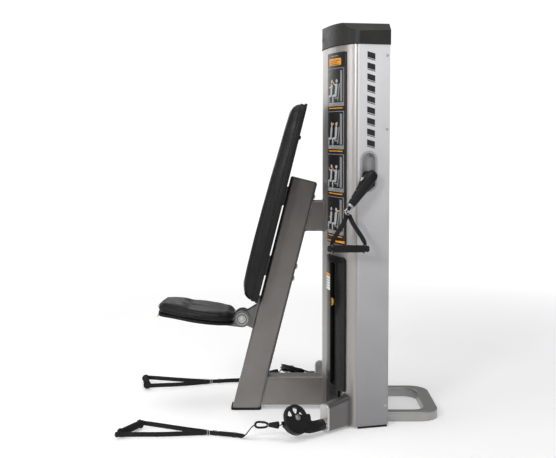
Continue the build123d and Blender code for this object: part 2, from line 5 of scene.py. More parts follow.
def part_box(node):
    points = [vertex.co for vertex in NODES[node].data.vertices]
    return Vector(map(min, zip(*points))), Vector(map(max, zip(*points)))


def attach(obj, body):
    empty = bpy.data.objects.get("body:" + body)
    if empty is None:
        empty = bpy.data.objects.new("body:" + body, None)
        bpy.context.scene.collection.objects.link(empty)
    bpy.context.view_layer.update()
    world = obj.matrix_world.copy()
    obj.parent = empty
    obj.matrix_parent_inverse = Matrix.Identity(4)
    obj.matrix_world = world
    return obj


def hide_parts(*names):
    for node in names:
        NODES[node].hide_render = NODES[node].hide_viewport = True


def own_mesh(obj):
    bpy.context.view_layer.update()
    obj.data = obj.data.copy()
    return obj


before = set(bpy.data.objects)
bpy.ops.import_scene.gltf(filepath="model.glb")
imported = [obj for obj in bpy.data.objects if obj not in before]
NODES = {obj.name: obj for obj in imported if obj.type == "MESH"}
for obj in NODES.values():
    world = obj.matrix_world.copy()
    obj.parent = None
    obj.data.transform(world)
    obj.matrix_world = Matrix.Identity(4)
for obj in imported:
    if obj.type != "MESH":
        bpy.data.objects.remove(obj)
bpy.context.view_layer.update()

MM = 0.001
scene = bpy.context.scene
SIDES = (("right", 1.0), ("left", -1.0))


# ------------------------------------------------------------------ node helpers
class Net:
    """Small wrapper that builds one node material."""

    def __init__(self, name):
        self.mat = bpy.data.materials.new(name)
        self.mat.use_nodes = True
        self.t = self.mat.node_tree
        self.t.nodes.clear()
        self.out = self.t.nodes.new("ShaderNodeOutputMaterial")
        self.b = self.t.nodes.new("ShaderNodeBsdfPrincipled")
        self.link(self.b.outputs[0], self.out.inputs[0])
        self.tc = self.t.nodes.new("ShaderNodeTexCoord")
        self.height = None

    def link(self, a, b):
        self.t.links.new(a, b)

    def node(self, kind, **kw):
        n = self.t.nodes.new(kind)
        for k, v in kw.items():
            setattr(n, k, v)
        return n

    def coords(self, scale=(1, 1, 1), rot=(0, 0, 0), src="Object", loc=(0, 0, 0)):
        m = self.node("ShaderNodeMapping")
        m.inputs["Scale"].default_value = scale
        m.inputs["Rotation"].default_value = rot
        m.inputs["Location"].default_value = loc
        self.link(self.tc.outputs[src], m.inputs["Vector"])
        return m.outputs[0]

    def noise(self, scale, detail=4.0, rough=0.55, vec=None, distort=0.0):
        n = self.node("ShaderNodeTexNoise")
        n.inputs["Scale"].default_value = scale
        n.inputs["Detail"].default_value = detail
        n.inputs["Roughness"].default_value = rough
        n.inputs["Distortion"].default_value = distort
        self.link(vec if vec is not None else self.tc.outputs["Object"], n.inputs["Vector"])
        return n.outputs["Fac"]

    def voronoi(self, scale, vec=None, feature="F1", rand=1.0):
        n = self.node("ShaderNodeTexVoronoi", feature=feature)
        n.inputs["Scale"].default_value = scale
        n.inputs["Randomness"].default_value = rand
        self.link(vec if vec is not None else self.tc.outputs["Object"], n.inputs["Vector"])
        return n.outputs["Distance"]

    def ramp(self, fac, stops):
        r = self.node("ShaderNodeValToRGB")
        el = r.color_ramp.elements
        while len(el) < len(stops):
            el.new(0.5)
        for e, (p, c) in zip(el, stops):
            e.position = p
            e.color = (c[0], c[1], c[2], 1) if not isinstance(c, (int, float)) else (c, c, c, 1)
        self.link(fac, r.inputs[0])
        return r.outputs[0]

    def range(self, fac, a, b, lo=0.0, hi=1.0):
        r = self.node("ShaderNodeMapRange")
        r.inputs["From Min"].default_value = lo
        r.inputs["From Max"].default_value = hi
        r.inputs["To Min"].default_value = a
        r.inputs["To Max"].default_value = b
        self.link(fac, r.inputs["Value"])
        return r.outputs[0]

    def math(self, op, a, b=None):
        m = self.node("ShaderNodeMath", operation=op)
        for i, v in enumerate((a, b)):
            if v is None:
                continue
            if isinstance(v, (int, float)):
                m.inputs[i].default_value = v
            else:
                self.link(v, m.inputs[i])
        return m.outputs[0]

    def mix(self, fac, a, b, mode="MIX"):
        m = self.node("ShaderNodeMix", data_type="RGBA", blend_type=mode)
        ins = [m.inputs[0], m.inputs[6], m.inputs[7]]
        for i, v in zip(ins, (fac, a, b)):
            if isinstance(v, (int, float)):
                i.default_value = v
            elif isinstance(v, (tuple, list)):
                i.default_value = (v[0], v[1], v[2], 1)
            else:
                self.link(v, i)
        return m.outputs[2]

    def z(self, z0, z1):
        s = self.node("ShaderNodeSeparateXYZ")
        self.link(self.tc.outputs["Object"], s.inputs[0])
        return self.range(s.outputs[2], 0.0, 1.0, z0, z1)

    def color(self, v):
        if isinstance(v, (tuple, list)):
            self.b.inputs["Base Color"].default_value = (v[0], v[1], v[2], 1)
        else:
            self.link(v, self.b.inputs["Base Color"])

    def rough(self, v):
        if isinstance(v, (int, float)):
            self.b.inputs["Roughness"].default_value = v
        else:
            self.link(v, self.b.inputs["Roughness"])

    def set(self, **kw):
        for k, v in kw.items():
            self.b.inputs[k.replace("_", " ")].default_value = v

    def bump(self, h, dist, strength=1.0, bevel=None):
        b = self.node("ShaderNodeBump")
        b.inputs["Distance"].default_value = dist
        b.inputs["Strength"].default_value = strength
        self.link(h, b.inputs["Height"])
        if bevel:
            v = self.node("ShaderNodeBevel", samples=4)
            v.inputs["Radius"].default_value = bevel
            self.link(v.outputs[0], b.inputs["Normal"])
        self.link(b.outputs[0], self.b.inputs["Normal"])


def edge_wear(n, base, worn, amount=0.35, radius=0.0016):
    """Mixes a worn tint in along edges, found from the difference between the bevelled and the true normal."""
    v = n.node("ShaderNodeBevel", samples=4)
    v.inputs["Radius"].default_value = radius
    g = n.node("ShaderNodeNewGeometry")
    d = n.node("ShaderNodeVectorMath", operation="DOT_PRODUCT")
    n.link(v.outputs[0], d.inputs[0])
    n.link(g.outputs["Normal"], d.inputs[1])
    e = n.range(d.outputs["Value"], 1.0, 0.0, 0.80, 0.995)
    br = n.range(n.noise(55, 5), 0.0, 1.0, 0.42, 0.62)
    f = n.math("MULTIPLY", n.math("MULTIPLY", e, br), amount)
    return n.mix(f, base, worn)


def m_paint(name, col, col2, rough=0.38, metal=0.85, fleck=0.25, painted_light_ramp=None, bevel=0.0012, wear=(0.5, 0.5, 0.5), wear_amt=0.25):
    """Metallic powder coat: fine flecks, slight orange peel and cloudy tone, with an optional painted light ramp that
    makes the colour lighter or darker with height.
    """
    n = Net(name)
    cloud = n.noise(3.1, 5, 0.6)
    c = n.mix(n.range(cloud, 0.0, 1.0, 0.35, 0.65), col, col2)
    fl = n.voronoi(1500)
    c = n.mix(n.range(fl, fleck, 0.0, 0.05, 0.32), c, tuple(min(1, x * 1.9 + 0.05) for x in col))
    # painted light and shade: the colour is multiplied by a ramp over height, lighter where the lamps fall and darker
    # where shade falls
    if painted_light_ramp:
        (z0, z1, lo, hi) = painted_light_ramp
        c = n.mix(1.0, c, n.ramp(n.z(z0, z1), [(0.0, lo), (1.0, hi)]), "MULTIPLY")
    c = edge_wear(n, c, wear, wear_amt)
    smudge = n.noise(11, 6, 0.65, distort=0.4)
    n.color(c)
    n.rough(n.range(smudge, rough - 0.07, rough + 0.10, 0.3, 0.7))
    n.set(Metallic=metal, Coat_Weight=0.25, Coat_Roughness=0.25)
    peel = n.noise(420, 2, 0.5)
    n.bump(peel, 0.00012, 0.5, bevel)
    return n.mat


def m_brushed(name, col, rough=0.32, axis="z", painted_light_ramp=None, bevel=0.001, aniso=0.5):
    n = Net(name)
    sc = {"z": (900, 900, 6), "x": (6, 900, 900), "y": (900, 6, 900)}[axis]
    v = n.coords(sc)
    line = n.noise(1.0, 3, 0.6, v)
    c = n.mix(n.range(line, 0.0, 1.0, 0.3, 0.7), tuple(x * 0.86 for x in col), tuple(min(1, x * 1.12) for x in col))
    cloud = n.noise(2.4, 4)
    c = n.mix(n.range(cloud, 0.0, 0.35, 0.3, 0.75), c, tuple(x * 0.8 for x in col))
    if painted_light_ramp:
        # painted light and shade: the colour is multiplied by a ramp over height, lighter where the lamps fall
        (z0, z1, lo, hi) = painted_light_ramp
        c = n.mix(1.0, c, n.ramp(n.z(z0, z1), [(0.0, lo), (1.0, hi)]), "MULTIPLY")
    n.color(c)
    n.rough(n.range(line, rough - 0.06, rough + 0.12, 0.25, 0.75))
    n.set(Metallic=0.9)
    n.bump(line, 0.00006, 0.4, bevel)
    return n.mat


def m_plastic(name, col, rough=0.45, grain=700, depth=0.00012, bevel=0.001, coat=0.0, spec=0.4, dust=0.02):
    """Moulded plastic with a fine spark-eroded grain and faint scuffs."""
    n = Net(name)
    g = n.voronoi(grain)
    cl = n.noise(6, 5)
    c = n.mix(n.range(cl, 0.0, 1.0, 0.35, 0.7), col, tuple(x * 1.35 + 0.004 for x in col))
    scuff = n.noise(38, 8, 0.7, n.coords((1, 1, 4)))
    c = n.mix(n.range(scuff, 0.0, dust, 0.55, 0.8), c, (0.3, 0.3, 0.3))
    n.color(c)
    n.rough(n.range(n.noise(17, 6, 0.65), rough - 0.06, rough + 0.10, 0.3, 0.7))
    n.set(Coat_Weight=coat, Coat_Roughness=0.08)
    n.b.inputs["Specular IOR Level"].default_value = spec * 0.5
    n.bump(g, depth, 0.5, bevel)
    return n.mat


def m_gloss(name, col, rough=0.12, bevel=0.001):
    n = Net(name)
    cl = n.noise(5, 4)
    n.color(n.mix(n.range(cl, 0.0, 1.0, 0.35, 0.7), col, tuple(x * 1.4 + 0.003 for x in col)))
    sw = n.noise(60, 8, 0.75, n.coords((1, 1, 0.25)))
    n.rough(n.range(sw, rough, rough + 0.14, 0.4, 0.8))
    n.set(Coat_Weight=0.06, Coat_Roughness=0.06)
    n.b.inputs["Specular IOR Level"].default_value = 0.16
    n.bump(n.noise(24, 2), 0.0004, 0.25, bevel)
    return n.mat


def m_rubber(name, col=(0.008, 0.008, 0.0085), rough=0.62, ribs=None):
    n = Net(name)
    g = n.noise(900, 3, 0.6)
    cl = n.noise(9, 5)
    c = n.mix(n.range(cl, 0.0, 1.0, 0.35, 0.7), col, tuple(x * 1.7 + 0.004 for x in col))
    n.color(n.mix(n.range(n.noise(45, 7, 0.7), 0.0, 0.04, 0.55, 0.8), c, (0.22, 0.21, 0.2)))
    n.rough(n.range(cl, rough - 0.08, rough + 0.1, 0.3, 0.7))
    n.b.inputs["Specular IOR Level"].default_value = 0.18
    n.bump(g, 0.00025, 0.6, 0.0008)
    return n.mat


def m_vinyl(name, col=(0.016, 0.015, 0.015), rough=0.40):
    """Upholstery vinyl: pebbled grain with fine creases between the pebbles, painted shade in the creases and a cloudy
    lighter tone.
    """
    n = Net(name)
    warp = n.noise(90, 3)
    v = n.coords((1, 1, 1))
    peb = n.voronoi(520, v)
    cell = n.voronoi(210, v, "DISTANCE_TO_EDGE")
    fine = n.noise(1400, 2)
    crease = n.range(cell, 0.0, 1.0, 0.0, 0.10)
    h = n.math("ADD", n.math("MULTIPLY", peb, 0.45), n.math("ADD", n.math("MULTIPLY", crease, 0.75), n.math("MULTIPLY", fine, 0.12)))
    cl = n.noise(7, 5, 0.6, distort=0.3)
    c = n.mix(n.range(cl, 0.0, 1.0, 0.3, 0.7), col, tuple(x * 1.9 + 0.003 for x in col))
    # painted shade: the colour darkens towards a third of its value in the creases between the pebbles
    c = n.mix(n.range(crease, 0.5, 0.0), c, tuple(x * 0.35 for x in col))
    n.color(c)
    n.rough(n.range(n.noise(13, 6, 0.65), rough - 0.09, rough + 0.10, 0.3, 0.7))
    n.set(Coat_Weight=0.02, Coat_Roughness=0.30, Sheen_Weight=0.0)
    n.b.inputs["Specular IOR Level"].default_value = 0.20
    n.bump(h, 0.00032, 0.7)
    return n.mat


def m_webbing(name, col=(0.008, 0.008, 0.0085), tint=(0.026, 0.026, 0.027)):
    """Woven nylon webbing. UV: x along the strap and y across it, both in metres."""
    n = Net(name)
    uv = n.node("ShaderNodeSeparateXYZ")
    n.link(n.tc.outputs["UV"], uv.inputs[0])
    k = 2 * math.pi / 0.0022
    along = n.math("SINE", n.math("MULTIPLY", uv.outputs[0], k))
    across = n.math("SINE", n.math("MULTIPLY", uv.outputs[1], k * 0.9))
    diag = n.math("SINE", n.math("MULTIPLY", n.math("ADD", uv.outputs[0], uv.outputs[1]), k * 0.5))
    h = n.math("ADD", n.math("MULTIPLY", along, across), n.math("MULTIPLY", diag, 0.6))
    f = n.range(h, 0.0, 1.0, -1.4, 1.6)
    c = n.mix(f, col, tint)
    c = n.mix(n.range(n.noise(28, 6), 0.0, 0.15, 0.5, 0.8), c, (0.06, 0.06, 0.06))
    n.color(c)
    n.rough(n.range(f, 0.85, 0.6))
    n.set(Sheen_Weight=0.06, Sheen_Roughness=0.4)
    n.b.inputs["Specular IOR Level"].default_value = 0.15
    n.bump(h, 0.0004, 0.6)
    return n.mat


def m_steel(name, col=(0.58, 0.58, 0.59), rough=0.28):
    n = Net(name)
    cl = n.noise(30, 6, 0.6)
    c = n.mix(n.range(cl, 0.0, 1.0, 0.35, 0.7), col, tuple(x * 0.72 for x in col))
    n.color(c)
    n.rough(n.range(n.noise(90, 6), rough - 0.08, rough + 0.14, 0.3, 0.7))
    n.set(Metallic=1.0)
    n.bump(n.noise(700, 2), 0.00006, 0.4, 0.0007)
    return n.mat


def m_print(name, col, rough=0.4):
    """Screen-printed ink: even tone with a faint halftone and rub marks."""
    n = Net(name)
    d = n.voronoi(1100, rand=0.15)
    c = n.mix(n.range(d, 0.10, 0.0, 0.1, 0.5), col, tuple(min(1, x * 1.5 + 0.01) for x in col))
    c = n.mix(n.range(n.noise(20, 6), 0.0, 0.22, 0.5, 0.75), c, tuple(x * 0.75 for x in col))
    n.color(c)
    n.rough(n.range(n.noise(40, 5), rough - 0.05, rough + 0.12, 0.3, 0.7))
    n.set(Coat_Weight=0.08, Coat_Roughness=0.2)
    n.b.inputs["Specular IOR Level"].default_value = 0.25
    n.bump(d, 0.00004, 0.3)
    return n.mat


M = {
    # side and rear panels: painted light, the colour ramps from half at the floor to about 1.5 times at the top
    "side": m_paint("panel_satin_silver", (0.56, 0.56, 0.575), (0.52, 0.52, 0.535), 0.50, 0.45, 0.10, (0.0, 1.74, 0.50, 1.46), wear_amt=0.1),
    "recess": m_paint("recess_grey", (0.42, 0.42, 0.43), (0.38, 0.38, 0.39), 0.50, 0.45, 0.10, wear_amt=0.3),
    "hinge": m_paint("hinge_silver_grey", (0.17, 0.168, 0.165), (0.14, 0.138, 0.136), 0.38, 0.75, 0.25),
    # brushed front: painted light, darker at the floor and lighter at the top
    "front": m_brushed("panel_brushed", (0.50, 0.475, 0.46), 0.36, "z", (0.0, 1.74, 0.72, 1.05)),
    # post, beam and bracket: painted shade, lighter near the floor and darker towards the top of the post
    "bronze": m_paint("frame_metallic_grey", (0.195, 0.181, 0.171), (0.160, 0.149, 0.141), 0.36, 0.8, 0.3, (0.0, 1.15, 1.35, 0.72)),
    "arm": m_paint("arm_metallic_grey", (0.185, 0.18, 0.178), (0.15, 0.147, 0.145), 0.38, 0.8, 0.3),
    "hoop": m_paint("hoop_silver_grey", (0.42, 0.415, 0.41), (0.36, 0.355, 0.35), 0.38, 0.75, 0.25),
    "inner": m_paint("inner_frame_paint", (0.07, 0.07, 0.07), (0.05, 0.05, 0.05), 0.5, 0.3, 0.1),
    "cap": m_plastic("cap_charcoal", (0.021, 0.0205, 0.020), 0.42, 900, 0.00014),
    "gloss": m_gloss("shroud_gloss_black", (0.0085, 0.0085, 0.0088), 0.20),
    "black": m_plastic("moulded_black", (0.009, 0.009, 0.0095), 0.38, 800, 0.0001),
    "nylon": m_plastic("pulley_nylon", (0.014, 0.014, 0.015), 0.34, 600, 0.00006),
    "rubber": m_rubber("rubber_black"),
    "foam": m_rubber("grip_foam", (0.008, 0.008, 0.0085), 0.72),
    "vinyl": m_vinyl("vinyl_black", (0.0065, 0.0063, 0.0062), 0.36),
    "board": m_plastic("board_black", (0.008, 0.008, 0.0085), 0.5, 500, 0.00015),
    "web": m_webbing("webbing_black"),
    "zinc": m_steel("zinc_hardware"),
    "bright": m_paint("end_cap_silver", (0.66, 0.65, 0.64), (0.60, 0.59, 0.58), 0.36, 0.7, 0.08, wear_amt=0.1),
    "chrome": m_steel("guide_rod_steel", (0.70, 0.70, 0.71), 0.14),
    "iron": m_paint("stack_iron_paint", (0.03, 0.03, 0.031), (0.022, 0.022, 0.023), 0.45, 0.2, 0.1),
    "yellow": m_gloss("accent_yellow", (0.80, 0.42, 0.015), 0.22),
    "orange": m_print("print_orange", (0.78, 0.30, 0.02)),
    "pgrey": m_print("print_grey", (0.22, 0.225, 0.23)),
    "plight": m_print("print_light", (0.42, 0.43, 0.44)),
    "pblack": m_print("print_black", (0.014, 0.014, 0.015), 0.3),
    "pwhite": m_print("print_white", (0.86, 0.86, 0.84)),
    "thread": m_rubber("seam_piping", (0.01, 0.01, 0.01), 0.5),
}


# ------------------------------------------------------------------ mesh helpers
def add(name, verts, faces, mat, body, smooth=True, uvs=None, angle=None):
    me = bpy.data.meshes.new(name)
    me.from_pydata([tuple(v) for v in verts], [], faces)
    me.validate()
    if uvs is not None:
        layer = me.uv_layers.new(name="UVMap")
        for poly in me.polygons:
            for li in poly.loop_indices:
                layer.data[li].uv = uvs[me.loops[li].vertex_index]
    o = bpy.data.objects.new(name, me)
    scene.collection.objects.link(o)
    me.materials.append(M[mat] if isinstance(mat, str) else mat)
    fix_normals(me)
    for p in me.polygons:
        p.use_smooth = smooth
    if smooth and angle:
        sharp(me, angle)
    if body:
        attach(o, body)
    return o


def fix_normals(me):
    bm = bmesh.new()
    bm.from_mesh(me)
    bmesh.ops.recalc_face_normals(bm, faces=bm.faces)
    bm.to_mesh(me)
    bm.free()


def sharp(me, angle):
    bm = bmesh.new()
    bm.from_mesh(me)
    for e in bm.edges:
        e.smooth = not (len(e.link_faces) == 2 and e.calc_face_angle(0) > angle)
    bm.to_mesh(me)
    bm.free()


def frame_of(d, up=None):
    d = Vector(d).normalized()
    up = Vector(up) if up is not None else (Vector((0, 0, 1)) if abs(d.z) < 0.9 else Vector((1, 0, 0)))
    x = d.cross(up).normalized()
    y = x.cross(d).normalized()
    return x, y, d


def lathe(name, profile, p, d, mat, body, seg=40, closed=False, angle=0.6):
    """profile is a list of (radius, height) along d, in metres."""
    x, y, d = frame_of(d)
    p = Vector(p)
    verts, faces = [], []
    rows = []
    for r, h in profile:
        if r < 1e-7:
            rows.append([len(verts)])
            verts.append(p + d * h)
        else:
            row = []
            for k in range(seg):
                a = 2 * math.pi * k / seg
                row.append(len(verts))
                verts.append(p + d * h + (x * math.cos(a) + y * math.sin(a)) * r)
            rows.append(row)
    pairs = list(zip(rows[:-1], rows[1:]))
    if closed:
        pairs.append((rows[-1], rows[0]))
    for a, b in pairs:
        for k in range(seg):
            k2 = (k + 1) % seg
            if len(a) == 1 and len(b) == 1:
                continue
            if len(a) == 1:
                faces.append((a[0], b[k2], b[k]))
            elif len(b) == 1:
                faces.append((a[k], a[k2], b[0]))
            else:
                faces.append((a[k], a[k2], b[k2], b[k]))
    return add(name, verts, faces, mat, body, angle=angle)


def smooth_path(pts, step=0.006):
    """Catmull-Rom curve through pts, resampled."""
    P = [Vector(p) for p in pts]
    P = [P[0] * 2 - P[1]] + P + [P[-1] * 2 - P[-2]]
    out = []
    for i in range(1, len(P) - 2):
        n = max(2, int((P[i + 1] - P[i]).length / step))
        for k in range(n):
            t = k / n
            a, b, c, d = P[i - 1], P[i], P[i + 1], P[i + 2]
            out.append(0.5 * ((2 * b) + (c - a) * t + (2 * a - 5 * b + 4 * c - d) * t * t + (3 * b - a - 3 * c + d) * t ** 3))
    out.append(P[-2])
    return out


def sweep(name, path, section, mat, body, lat=None, closed=False, caps=True, angle=0.7):
    """Sweeps a 2-D section (u, v) along path; u runs along lat (a vector or one per point), v along the other normal."""
    n, m = len(path), len(section)
    verts, uvs, faces = [], [], []
    dist = 0.0
    px = None
    per = [0.0]
    for k in range(m):
        a, b = section[k], section[(k + 1) % m]
        per.append(per[-1] + math.hypot(b[0] - a[0], b[1] - a[1]))
    for i, p in enumerate(path):
        a = path[(i - 1) % n] if closed else path[max(i - 1, 0)]
        b = path[(i + 1) % n] if closed else path[min(i + 1, n - 1)]
        d = (b - a).normalized()
        if i:
            dist += (p - path[i - 1]).length
        if lat is None:
            if px is None:
                px = frame_of(d)[0]
            x = (px - d * px.dot(d)).normalized()
            px = x
        else:
            l = lat[i] if isinstance(lat, list) else lat
            l = Vector(l)
            x = (l - d * l.dot(d)).normalized()
        y = d.cross(x)
        for k, (u, v) in enumerate(section):
            verts.append(p + x * u + y * v)
            uvs.append((dist, u))
    for i in range(n if closed else n - 1):
        j = (i + 1) % n
        for k in range(m):
            k2 = (k + 1) % m
            faces.append((i * m + k, i * m + k2, j * m + k2, j * m + k))
    if caps and not closed:
        faces.append(tuple(range(m)))
        faces.append(tuple((n - 1) * m + k for k in reversed(range(m))))
    return add(name, verts, faces, mat, body, uvs=uvs, angle=angle)


def circle(r, seg=14):
    return [(r * math.cos(2 * math.pi * k / seg), r * math.sin(2 * math.pi * k / seg)) for k in range(seg)]


def band(w, t, cut=0.35):
    """Cross-section of webbing: flat with softly rounded selvedges and a faint crown."""
    h = w / 2
    e = t * 0.9
    pts = []
    for u in (-h, -h + e, -h * 0.5, 0, h * 0.5, h - e, h):
        v = t / 2 * (0.35 if abs(u) > h - 1e-9 else 0.85 if abs(u) > h - e * 1.1 else 1.0)
        pts.append((u, v))
    return pts + [(u, -v) for u, v in reversed(pts)]


def prism(name, poly, to3, t0, t1, mat, body, bevel=0.0, seg=2, angle=0.5):
    """Extrudes a closed 2-D polygon between t0 and t1; to3(u, v, t) gives the 3-D point. Edges are rounded by bevel."""
    n = len(poly)
    verts = [to3(u, v, t0) for u, v in poly] + [to3(u, v, t1) for u, v in poly]
    faces = [tuple(range(n)), tuple(range(2 * n - 1, n - 1, -1))]
    for k in range(n):
        k2 = (k + 1) % n
        faces.append((k, k2, n + k2, n + k))
    o = add(name, verts, faces, mat, None, angle=angle)
    if bevel:
        bm = bmesh.new()
        bm.from_mesh(o.data)
        es = [e for e in bm.edges if len(e.link_faces) == 2 and e.calc_face_angle(0) > 0.5]
        bmesh.ops.bevel(bm, geom=es, offset=bevel, segments=seg, profile=0.6, affect="EDGES", clamp_overlap=True)
        bm.to_mesh(o.data)
        bm.free()
        for p in o.data.polygons:
            p.use_smooth = True
        sharp(o.data, angle)
    if body:
        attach(o, body)
    return o


def round_poly(pts, r, seg=5):
    """Rounds each corner of a polygon with radius r (or one radius per corner)."""
    out = []
    n = len(pts)
    for i in range(n):
        rr = r[i] if isinstance(r, (list, tuple)) else r
        p, a, b = Vector(pts[i]), Vector(pts[i - 1]), Vector(pts[(i + 1) % n])
        da, db = (a - p), (b - p)
        la, lb = da.length, db.length
        da.normalize()
        db.normalize()
        ang = math.acos(max(-1, min(1, da.dot(db))))
        if rr <= 0 or ang > 3.1:
            out.append((p.x, p.y))
            continue
        t = min(rr / math.tan(ang / 2), la * 0.48, lb * 0.48)
        q0, q1 = p + da * t, p + db * t
        for k in range(seg + 1):
            s = k / seg
            q = q0 * (1 - s) ** 2 + p * 2 * s * (1 - s) + q1 * s * s
            out.append((q.x, q.y))
    return out


def join(name, objs, body):
    """Makes one object of several, keeping each one's material."""
    bm = bmesh.new()
    mats = []
    uv = bm.loops.layers.uv.new("UVMap")
    for o in objs:
        mi = {}
        for i, m in enumerate(o.data.materials):
            if m not in mats:
                mats.append(m)
            mi[i] = mats.index(m)
        bm2 = bmesh.new()
        bm2.from_mesh(o.data)
        bm2.transform(o.matrix_world)
        tmp = bpy.data.meshes.new("tmp")
        for f in bm2.faces:
            f.material_index = mi.get(f.material_index, 0)
        bm2.to_mesh(tmp)
        bm2.free()
        bm.from_mesh(tmp)
        bpy.data.meshes.remove(tmp)
    me = bpy.data.meshes.new(name)
    bm.to_mesh(me)
    bm.free()
    for m in mats:
        me.materials.append(m)
    for o in objs:
        bpy.data.objects.remove(o, do_unlink=True)
    o = bpy.data.objects.new(name, me)
    scene.collection.objects.link(o)
    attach(o, body)
    return o


def hexhead(name, p, d, r, h, mat, body, washer=0.0):
    """Hex bolt head with a chamfered crown, and a washer if asked."""
    x, y, d = frame_of(d)
    p = Vector(p)
    parts = []
    rows = [(r * 1.0, 0.0), (r * 1.0, h * 0.75), (r * 0.86, h), (0.0, h)]
    verts, faces = [], []
    for rr, hh in rows[:-1]:
        for k in range(6):
            a = math.pi * k / 3
            verts.append(p + d * (hh + washer) + (x * math.cos(a) + y * math.sin(a)) * rr)
    verts.append(p + d * (h + washer))
    for i in range(2):
        for k in range(6):
            faces.append((i * 6 + k, i * 6 + (k + 1) % 6, (i + 1) * 6 + (k + 1) % 6, (i + 1) * 6 + k))
    for k in range(6):
        faces.append((12 + k, 12 + (k + 1) % 6, 18))
    faces.append(tuple(range(6)))
    parts.append(add(name + "_h", verts, faces, mat, None, smooth=False))
    if washer:
        parts.append(lathe(name + "_w", [(0.0, 0), (r * 1.35, 0), (r * 1.4, washer * 0.4), (r * 1.35, washer), (0.0, washer)], p, d, mat, None, 24))
    return join(name, parts, body)


def weld(name, pts, body, r=0.0035, mat="bronze", closed=False, seed=1):
    """Weld bead: a tube with small overlapping ripples."""
    path = smooth_path(pts, 0.0022) if not closed else [Vector(p) for p in pts]
    verts, faces = [], []
    m = 8
    n = len(path)
    px = None
    for i, p in enumerate(path):
        a = path[(i - 1) % n] if closed else path[max(i - 1, 0)]
        b = path[(i + 1) % n] if closed else path[min(i + 1, n - 1)]
        d = (b - a).normalized()
        if px is None:
            px = frame_of(d)[0]
        x = (px - d * px.dot(d)).normalized()
        px = x
        y = d.cross(x)
        rr = r * (1.0 + 0.16 * math.sin(i * 1.9 + seed) + 0.06 * math.sin(i * 0.37))
        for k in range(m):
            an = 2 * math.pi * k / m
            verts.append(p + (x * math.cos(an) + y * math.sin(an)) * rr)
    for i in range(n if closed else n - 1):
        j = (i + 1) % n
        for k in range(m):
            faces.append((i * m + k, i * m + (k + 1) % m, j * m + (k + 1) % m, j * m + k))
    if not closed:
        faces.append(tuple(range(m)))
        faces.append(tuple((n - 1) * m + k for k in reversed(range(m))))
    return add(name, verts, faces, mat, body)


def cad(node, mat, bevel=0.0, seg=2, angle=35):
    """Gives a CAD node its material, rounded edges and clean shading."""
    o = NODES[node]
    o.data.materials.clear()
    o.data.materials.append(M[mat])
    for p in o.data.polygons:
        p.use_smooth = True
    w = o.modifiers.new("weld", "WELD")
    w.merge_threshold = 0.00002
    if bevel:
        b = o.modifiers.new("round", "BEVEL")
        b.width = bevel
        b.segments = seg
        b.limit_method = "ANGLE"
        b.angle_limit = math.radians(angle)
        b.harden_normals = True
        b.use_clamp_overlap = True
    # hard corners stay hard and the large faces stay flat next to their rounded edges
    e = o.modifiers.new("corners", "EDGE_SPLIT")
    e.split_angle = math.radians(38)
    e.use_edge_sharp = False
    wn = o.modifiers.new("flat", "WEIGHTED_NORMAL")
    wn.mode = "FACE_AREA"
    wn.weight = 60
    wn.keep_sharp = False
    return o


# ------------------------------------------------------------------ shared shape of the bowed front
BOWC = [(0, -145.0), (77, -132.5), (165, -112.0), (239, -84.0), (288, -56.0), (321, -27.0), (336, 10.0)]


def bow_y(x):
    """Y of the bowed front at lateral position x, both in metres."""
    ax = abs(x) / MM
    P = BOWC
    for i in range(len(P) - 1):
        if ax <= P[i + 1][0] or i == len(P) - 2:
            x0, x1 = P[i][0], P[i + 1][0]
            def slope(j):
                if j == 0:
                    return 0.0
                a = P[max(j - 1, 0)]
                b = P[min(j + 1, len(P) - 1)]
                return (b[1] - a[1]) / (b[0] - a[0])
            t = (ax - x0) / (x1 - x0)
            h = x1 - x0
            m0, m1 = slope(i), slope(i + 1)
            y = ((2 * t ** 3 - 3 * t ** 2 + 1) * P[i][1] + (t ** 3 - 2 * t ** 2 + t) * h * m0
                 + (-2 * t ** 3 + 3 * t ** 2) * P[i + 1][1] + (t ** 3 - t ** 2) * h * m1)
            return y * MM
    return 0.0


def bow_n(x):
    e = 0.001
    dy = (bow_y(x + e) - bow_y(x - e)) / (2 * e)
    v = Vector((dy, -1.0, 0.0))
    return v.normalized()


def on_bow(x, z, off):
    n = bow_n(x)
    return Vector((x, bow_y(x), z)) + n * off


